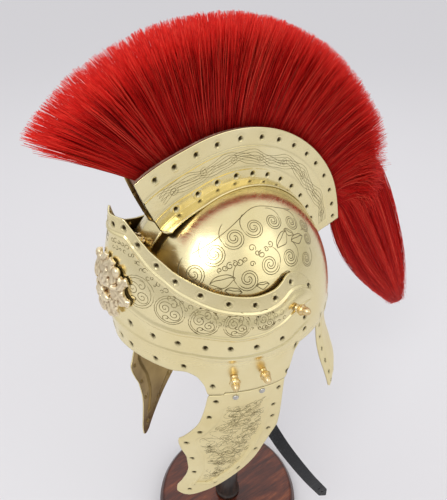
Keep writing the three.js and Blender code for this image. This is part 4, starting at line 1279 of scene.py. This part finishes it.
def wrap_surface(relief):
    def surface(stroke):
        a, z = stroke[:, 0], stroke[:, 1]
        p = on_wrap(a, z, relief(a, z) + SHEET / 2)
        beside = on_wrap(a + 0.4, z, relief(a + 0.4, z) + SHEET / 2) - p
        above = on_wrap(a, z + 0.7, relief(a, z + 0.7) + SHEET / 2) - p
        return p, unit(np.cross(beside, above))
    return surface


def on_sheet(strokes, angle, level):
    """Flat strokes in millimetres moved to a plan angle and level of the wrap."""
    reach = np.linalg.norm(plain_wrap(angle + 0.5, level) - plain_wrap(angle - 0.5, level))
    return [np.stack([angle + s[:, 0] / reach, level + s[:, 1]], -1) for s in strokes]


def brow_strokes():
    """Roundels of scrolls along the band's panel, with short curls between them."""
    spots = [(23, 68, 15), (38, 57, 13), (51.5, 48, 12.5), (64.5, 43, 11.5), (77, 43, 9), (8, 76, 13)]
    strokes = []
    for angle, level, radius in spots:
        flat = [spiral(radius, 0.97, 0.2, 1, 0.97), spiral(radius * 0.86, 0.95, 1.0, 1, 0.95)]
        flat += [spiral(radius * 0.45, 1.9, 0.5, 1) + (-0.26 * radius, 0.2 * radius),
                 spiral(radius * 0.45, 1.9, 3.4, 1) + (0.3 * radius, -0.22 * radius),
                 spiral(radius * 0.3, 1.2, 2.0, -1) + (0.28 * radius, 0.46 * radius),
                 spiral(radius * 0.3, 1.2, 5.0, -1) + (-0.24 * radius, -0.5 * radius)]
        strokes += on_sheet(flat, angle, level)
    for i in range(26):
        angle = 5 + 3.2 * i
        top, bead, upper, _, _ = (float(v[0]) for v in brow_levels(np.array([angle])))
        if bead - upper < 14:
            continue
        level = bead - 5.5
        size = 2.0 + 0.5 * math.sin(i * 2.1)
        strokes += on_sheet([spiral(size, 0.9, i * 0.9, 1 if i % 2 else -1, 0.4)], angle, level)
        strokes += on_sheet([spiral(size * 0.8, 0.8, i * 1.7, -1, 0.4)], angle + 1.4, level - 5.5)
    return [*strokes, *(s * (-1, 1) for s in strokes)]


def flipped(surface):
    """The same surface with its normals turned away from the helmet's upright axis."""
    def inner(stroke):
        p, normal = surface(stroke)
        look = np.stack([p[:, 0], p[:, 1], 0 * p[:, 0]], -1)
        return p, normal * np.sign(np.sum(normal * look, -1, keepdims=True))
    return inner


engrave("brow_band_engraving", brow_strokes(), flipped(wrap_surface(brow_out)), 1.4, "root")


def guard_strokes():
    """Wandering lines that fill the sunk field of a cheek guard."""
    draw = np.random.default_rng(21)
    strokes = []
    for _ in range(2400):
        level = draw.uniform(-JOINT_DROP - 182, -JOINT_DROP - 20)
        angle = draw.uniform(34, 91)
        way, turn = draw.uniform(0, 2 * math.pi), draw.uniform(-0.5, 0.5)
        path = []
        for _ in range(26):
            front, rear = (float(v) for v in guard_edges(np.array(level)))
            room = min(angle - front, rear - angle) * 1.4
            if room < GUARD_BORDER + 2 or not -JOINT_DROP - 184 < level < -JOINT_DROP - 17:
                break
            path.append((angle, level))
            turn = 0.8 * turn + draw.normal(0, 0.34)
            way += turn
            angle += 1.5 * math.cos(way) / 1.7
            level += 1.5 * math.sin(way)
        if len(path) >= 12:
            strokes.append(np.array(path))
        if len(strokes) == 130:
            break
    return strokes


def make_guard_engraving(side, name):
    surface = flipped(wrap_surface(guard_out))

    def on_side(stroke):
        p, normal = surface(stroke)
        return p * (side, 1, 1), normal * (side, 1, 1)

    engrave(name + "_engraving", guard_strokes(), on_side, 0.45, name)


make_guard_engraving(1, "cheek_guard_left")
make_guard_engraving(-1, "cheek_guard_right")


def crest_strokes():
    """Two interlaced wavy strands of four lines along a wall of the crest, and small scrolls."""
    strokes = []
    a = np.linspace(CREST_BROW_ANGLE + 2, CREST_REAR_ANGLE - 4, 170)
    low = lift_at(a) + LOW_STRIP + 2
    high = wall_top_at(a) - TOP_STRIP - 2
    for phase in (0.0, 0.62 * math.pi):
        for line in (-1.5, -0.5, 0.5, 1.5):
            wave = 0.5 + 0.24 * np.sin(np.radians(a) * 12 + phase) + line * 0.17
            wave = wave + 0.04 * np.sin(np.radians(a) * 37 + phase + line)
            strokes.append(np.stack([a, low + (high - low) * np.clip(wave, 0, 1)], -1))
    for i in range(8):
        angle = -26 + 13.2 * i
        level = float(lift_at(angle) + LOW_STRIP + wall_top_at(angle) - TOP_STRIP) / 2
        flat = spiral(4.6, 1.6, i, 1 if i % 2 else -1)
        strokes.append(np.stack([angle + np.degrees(flat[:, 0] / 140), level + flat[:, 1]], -1))
    return strokes


def make_crest_engraving():
    wall = CREST_WIDTH / 2
    strokes = []
    for side in (1, -1):
        for stroke in crest_strokes():
            strokes.append(np.concatenate([stroke, np.full((len(stroke), 1), side)], -1))

    def surface(stroke):
        side = stroke[:, 2]
        p = over_dome(stroke[:, 0], side * wall, stroke[:, 1])
        return p, np.stack([side, 0 * side, 0 * side], -1)

    engrave("crest_box_engraving", strokes, surface, 0.8, "root")


make_crest_engraving()


# Cast mask: a plain lion's face in a ring of mane curls

MASK_FLATTENING = 0.68  # the face's depth as a share of what the tables say


def on_mask(x, z, out):
    """A point out from the mask's back, in millimetres from its middle."""
    level = MASK_LEVEL + z
    stand_off = SHEET / 2 + RELIEF_DEPTH + FLAT_ROOM
    back = float(on_wrap(0.0, level, stand_off)[1]) + MASK_BOW * (2 * x / MASK_WIDTH) ** 2
    return np.array([x, back - MASK_FLATTENING * out, level])


def add_ball(work, x, z, out, width, height, depth, tilt=0.0):
    place = Matrix.Translation(Vector(on_mask(x, z, out))) @ Matrix.Rotation(tilt, 4, "Y")
    shape = place @ Matrix.Diagonal((width, depth, height, 1))
    bmesh.ops.create_icosphere(work, subdivisions=3, radius=1.0, matrix=shape)


def add_lock(work, points, radii):
    """A tapered tuft along points given as side, height and distance out."""
    path = np.array([on_mask(*p) for p in points])[None]
    cloud, quads, caps = tubes(path, np.array(radii)[None], 8)
    verts = [work.verts.new(p) for p in cloud]
    for face in [*quads, *caps]:
        work.faces.new([verts[i] for i in face])


# The face's lumps in millimetres: side, height and distance out, then half sizes and tilt. Those off
# the middle stand on both sides.
FACE = table(
    "x z out width height depth tilt",
    (0, 0, -1.5, 19, 24, 4.4, 0),
    (0, 15, 3, 13, 7.5, 4.5, 0),
    (0, 5, 6, 4.2, 9.5, 3.4, 0),
    (0, -3.5, 8.2, 5.2, 3, 2.8, 0),
    (0, -20, 4.6, 7, 4.4, 3.6, 0),
    (0, -15.6, 6.6, 5.4, 1.3, 1.6, 0),
    (8.8, 9.8, 6.2, 7.4, 2.5, 2.6, 0.35),
    (8.4, 5.0, 4.8, 2.7, 1.9, 1.8, 0),
    (8.4, 2.2, 4.0, 5, 1.2, 1.8, -0.2),
    (6, -9, 6.6, 6.2, 4.2, 3.4, 0),
    (15, -1, 3.6, 6.2, 8, 3.6, 0.3),
    (17, 19, 3.5, 4.6, 5.6, 3.4, 0.5),
    (2.4, -4.8, 10, 1.9, 1.3, 1.2, 0),
)


# The mane's rings of tufts: how many, the first one's clock angle and the step to the next in
# radians, inner and outer radius, distance out, bend and half width.
MANE = [
    (17, math.pi / 17, 2 * math.pi / 17, 17, 29.5, 1.0, 0.22, 4.2),
    (15, 0.1, 2 * math.pi / 15, 15, 24.5, 3.8, -0.28, 3.4),
    (7, -1.02, 0.34, 9, 21, 7.6, 0.26, 2.6),
    (5, math.pi - 0.6, 0.3, 17, 29, 5.2, 0.22, 2.6),
]


def mane_lock(work, turn, inner, outer, out, bend, wide):
    """One wavy tuft of the mane, from inner to outer radius at a clock angle."""
    t = np.linspace(0, 1, 9)
    a = turn + bend * (t ** 1.5 - 0.25 * np.sin(2 * np.pi * t))
    r = inner + (outer - inner) * t
    rise = out + 1.2 * np.sin(np.pi * t ** 0.8) - 1.2 * t ** 2
    add_lock(work, list(zip(r * np.sin(a), r * np.cos(a), rise)), list(wide * (1.0 - 0.28 * t ** 2)))


def make_mask():
    work = bmesh.new()
    for x, z, out, width, height, depth, tilt in rows_of(FACE):
        for s in ((-1, 1) if x else (1,)):
            add_ball(work, x * s, z, out, width, height, depth, tilt * s)
    for count, first, step, inner, outer, out, bend, wide in MANE:
        for i in range(count):
            mane_lock(work, first + step * i, inner, outer, out, bend * (-1) ** i, wide)
    mesh = bpy.data.meshes.new("front_mask_fine")
    work.to_mesh(mesh)
    work.free()
    piece = show("mask_work", mesh)
    remesh = piece.modifiers.new("union", "REMESH")
    remesh.mode = "VOXEL"
    remesh.voxel_size = 0.6
    smooth = piece.modifiers.new("soften", "SMOOTH")
    smooth.factor = 0.5
    smooth.iterations = 2
    bpy.context.view_layer.update()
    whole = piece.evaluated_get(bpy.context.evaluated_depsgraph_get())
    final = bpy.data.meshes.new_from_object(whole)
    bpy.data.objects.remove(piece)
    co = np.zeros(len(final.vertices) * 3)
    final.vertices.foreach_get("co", co)
    co = co.reshape(-1, 3)
    level = np.clip(co[:, 2], MASK_LEVEL - 36, MASK_LEVEL + 36)
    seat = on_wrap(0.0, level, SHEET / 2 + RELIEF_DEPTH + FLAT_ROOM)[:, 1]
    back = seat + MASK_BOW * (2 * co[:, 0] / MASK_WIDTH) ** 2
    co[:, 1] = np.minimum(co[:, 1], back)
    final.vertices.foreach_set("co", in_row_frame(co).astype(np.float32).ravel())
    final.update()
    final.name = "front_mask_fine"
    add_piece("front_mask_fine", final, [CAST], "root", ["front_mask"])


make_mask()


# Turned pieces

def turned(pairs, sides, flutes=None):
    """Points and faces of a turned body about Z, from pairs of radius and height, axis to axis."""
    radius = np.array([p[0] for p in pairs[1:-1]])[:, None]
    height = np.array([p[1] for p in pairs[1:-1]])[:, None]
    turn = np.linspace(0, 2 * np.pi, sides, endpoint=False)[None, :]
    wave = 1.0 if flutes is None else 1 + flutes(height) * np.cos(10 * turn)
    body = np.stack([radius * wave * np.cos(turn), radius * wave * np.sin(turn), height + 0 * turn], -1)
    quads, (low, high) = ring_faces(len(radius), sides)
    count = len(radius) * sides
    fans = [np.stack([np.roll(ring, -1), ring, np.full(sides, count + end)], -1)
            for end, ring in enumerate((low[::-1], high))]
    points = np.concatenate([body.reshape(-1, 3), [[0, 0, pairs[0][1]], [0, 0, pairs[-1][1]]]])
    return points, [quads, np.concatenate(fans)]


# Half profiles as shares of the width and the length
ACORN = [(0, 0), (0.36, 0), (0.38, 0.02), (0.38, 0.08), (0.3, 0.11), (0.26, 0.16), (0.3, 0.2),
         (0.44, 0.26), (0.49, 0.32), (0.5, 0.38), (0.49, 0.46), (0.44, 0.5), (0.4, 0.53),
         (0.395, 0.6), (0.38, 0.7), (0.34, 0.8), (0.27, 0.88), (0.15, 0.96), (0, 1)]
RIVET_DOME = [(0, 0), (0.49, 0), (0.5, 0.06), (0.49, 0.2), (0.42, 0.6), (0.3, 0.85), (0.15, 0.97),
              (0, 1)]
def acorn_flutes(height):
    share = height / FINIAL_LENGTH
    return 0.07 * ((share > 0.24) & (share < 0.5)) + 0.03 * (share > 0.56) * (share < 0.8)


HALF_PROFILE = {
    "finial": (ACORN, FINIAL_WIDTH, FINIAL_LENGTH, acorn_flutes, FINIAL, "finial_brass"),
    "rivet": (RIVET_DOME, RIVET_WIDTH, RIVET_HEIGHT, None, STEEL, "rivet_steel"),
}


def stud(kind, name, seat, outward, body, side=1):
    """A turned stud on its seat, replacing the solid of the same name."""
    profile, width, length, flutes, material, slot = HALF_PROFILE[kind]
    points, faces = turned([(r * width, z * length) for r, z in profile], 40, flutes)
    turn = np.array(Vector((0, 0, 1)).rotation_difference(Vector(outward)).to_matrix())
    points = (points @ turn.T + seat) * (side, 1, 1)
    mesh = build_mesh(name + "_fine", in_row_frame(points), faces)
    face_outward(mesh)
    add_piece(name + "_fine", mesh, [material], body, [name])


STUD_REACH = 3.8  # how far above and below its middle a stud rests on the band's relief
# Kind, name, plan angle, level and body of the studs that stand on both sides.
STUDS = [
    ("finial", "finial_front", 62, -0.4 * JOINT_DROP, "root"),
    ("finial", "finial_rear", 75, -0.33 * JOINT_DROP, "root"),
    ("finial", "finial_lobe", 94, 0.34 * BROW_TOP, "root"),
    ("rivet", "rivet_front", 63.5, -JOINT_DROP - 7.5, "cheek_guard"),
    ("rivet", "rivet_rear", 76, -JOINT_DROP - 5.5, "cheek_guard"),
]


def make_studs():
    for kind, name, angle, level, body in STUDS:
        under = [level, level - STUD_REACH, level + STUD_REACH] if body == "root" else []
        relief = max([float(brow_out(angle, z)) for z in under], default=0.0)
        seat = on_wrap(angle, level, relief + SHEET / 2 + FIT)
        across = on_wrap(angle + 1, level) - on_wrap(angle - 1, level)
        upward = on_wrap(angle, level + 2.0) - on_wrap(angle, level - 2.0)
        outward = unit(np.cross(across, upward))
        for side, word in ((1, "left"), (-1, "right")):
            rides = body if body == "root" else f"{body}_{word}"
            stud(kind, f"{name}_{word}", seat, outward, rides, side)
    at = TONGUE_ANGLE + 2.5
    seat = over_dome(at, 0, lift_at(TONGUE_ANGLE) + SHEET + FLAT_ROOM)
    outward = unit(over_dome(at, 0, 50) - seat)
    stud("finial", "finial_tongue", seat, outward, "root")


make_studs()


# Chin strap

STRAP_ROUTE = [
    (92.6, -17, -85), (89.9, -6, -112), (88.2, 3.5, -134), (91, 10, -151), (96.5, 20, -176),
    (103, 37, -214), (108.5, 58, -258), (111, 78, -297), (112, 95, -330),
]
STRAP_POINT = 14


def smooth_route(points, per_span):
    """A smooth curve through given points."""
    p = np.array(points, float)
    p = np.concatenate([[2 * p[0] - p[1]], p, [2 * p[-1] - p[-2]]])
    out = []
    for i in range(1, len(p) - 2):
        for u in np.linspace(0, 1, per_span, endpoint=False):
            out.append(0.5 * (2 * p[i] + (p[i + 1] - p[i - 1]) * u
                              + (2 * p[i - 1] - 5 * p[i] + 4 * p[i + 1] - p[i + 2]) * u * u
                              + (3 * p[i] - p[i - 1] - 3 * p[i + 1] + p[i + 2]) * u ** 3))
    out.append(p[-2])
    return np.array(out)


STRAP_HOLES = (22, 38)
STRAP_HOLE_WIDTH = 3


def punched(mesh, punches):
    """The mesh with each punch cut through it."""
    whole = show("whole", mesh)
    helpers = [whole]
    for points, quads, caps in punches:
        tool = build_mesh("punch", in_row_frame(points), [quads, caps])
        face_outward(tool)
        helpers.append(show("punch", tool))
        cut = whole.modifiers.new("cut", "BOOLEAN")
        cut.operation = "DIFFERENCE"
        cut.solver = "EXACT"
        cut.object = helpers[-1]
    bpy.context.view_layer.update()
    done = bpy.data.meshes.new_from_object(whole.evaluated_get(bpy.context.evaluated_depsgraph_get()))
    for helper in helpers:
        bpy.data.objects.remove(helper)
    return done


def make_strap():
    route = smooth_route(STRAP_ROUTE, 12)
    along = unit(np.gradient(route, axis=0))
    face = np.array([1, -0.15, 0])
    side = unit(np.cross(along, face))
    out = unit(np.cross(side, along))
    far = np.concatenate([[0], np.cumsum(np.linalg.norm(np.diff(route, axis=0), axis=1))])
    left = far[-1] - far
    half = STRAP_WIDTH / 2 * np.clip(0.12 + 0.88 * left / STRAP_POINT, 0, 1)
    thick = STRAP_THICKNESS / 2
    section = np.array([(1, 0), (0.97, 0.7), (0.9, 1), (0.5, 1), (0, 1), (-0.5, 1), (-0.9, 1),
                        (-0.97, 0.7)])
    section = np.concatenate([section, -section])
    ring = (route[:, None] + section[None, :, :1] * half[:, None, None] * side[:, None]
            + section[None, :, 1:] * thick * out[:, None])
    mesh = bar_mesh("chin_strap_whole", ring)
    punches = []
    for back in STRAP_HOLES:
        at = int(np.argmin(np.abs(left - back)))
        ends = np.stack([route[at] - 4 * out[at], route[at] + 4 * out[at]])
        punches.append(tubes(ends[None], np.full((1, 2), STRAP_HOLE_WIDTH / 2), 12))
    final = punched(mesh, punches)
    final.name = "chin_strap_fine"
    add_piece("chin_strap_fine", final, [LEATHER], "cheek_guard_left", ["chin_strap"],
              smooth=False)


make_strap()


# Stand

def make_stand():
    half, top = BASE_WIDTH / 2, BASE_TOP_WIDTH / 2
    t = BASE_THICKNESS
    low = [(r * half, z * t) for r, z in ((0.95, 0), (0.963, 0.05), (0.972, 0.26), (0.985, 0.33))]
    turn = np.linspace(-0.5, 0.5, 9) * math.pi
    bulge = [(half - 1.4 + 1.4 * math.cos(a), (0.53 + 0.17 * math.sin(a)) * t) for a in turn]
    slope = [(top + (half - top) * (1 - s) ** 0.6 * 0.85, (0.72 + 0.28 * s ** 1.3) * t)
             for s in np.linspace(0, 1, 8)]
    flat = [(top * (1 - s), t) for s in np.linspace(0.02, 0.96, 14)]
    pairs = [(0, 0), *low, *bulge, *slope, *flat, (0, t)]
    points, faces = turned(pairs, 144)
    away = np.hypot(points[:, 0], points[:, 1])
    rim = ease((away - top + 1.5) / 3)
    mesh = build_mesh("stand_base_fine", points / 1000, faces, {"dark": 0.75 * rim})
    face_outward(mesh)
    add_piece("stand_base_fine", mesh, [MAHOGANY], "root", ["stand_base"])
    foot = BASE_THICKNESS + FIT
    peak = RIM_HEIGHT + DOME_HEIGHT - SHEET - FLAT_ROOM
    across = HEAD_WIDTH / 2
    crown_drop = HEAD_ROUND - math.sqrt(HEAD_ROUND ** 2 - across ** 2)
    crown = [(across * (1 - u), peak - HEAD_ROUND + math.sqrt(HEAD_ROUND ** 2 - (across * (1 - u)) ** 2))
             for u in np.linspace(0, 0.96, 14)]
    collar, post, brim = COLLAR_WIDTH / 2, POST_WIDTH / 2, peak - crown_drop
    pairs = [(0, foot), (collar, foot), (collar, foot + 0.55 * COLLAR_HEIGHT),
             (0.97 * collar, foot + 0.7 * COLLAR_HEIGHT), (post, foot + COLLAR_HEIGHT),
             (post, brim - HEAD_THICKNESS - 1), (post + 1, brim - HEAD_THICKNESS),
             (across, brim - 0.2 * HEAD_THICKNESS), *crown, (0, peak)]
    points, faces = turned(pairs, 72)
    mesh = build_mesh("stand_post_fine", points / 1000, faces)
    face_outward(mesh)
    add_piece("stand_post_fine", mesh, [BLACK_WOOD], "root", ["stand_post"])


make_stand()


# Hidden hinges keep their solids and get the finish of the plates

def finish_nodes():
    for name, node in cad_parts.items():
        if node.hide_render:
            continue
        material = STEEL if name.startswith("hinge_pin") else BRASS
        node.data.materials.clear()
        node.data.materials.append(material)


finish_nodes()
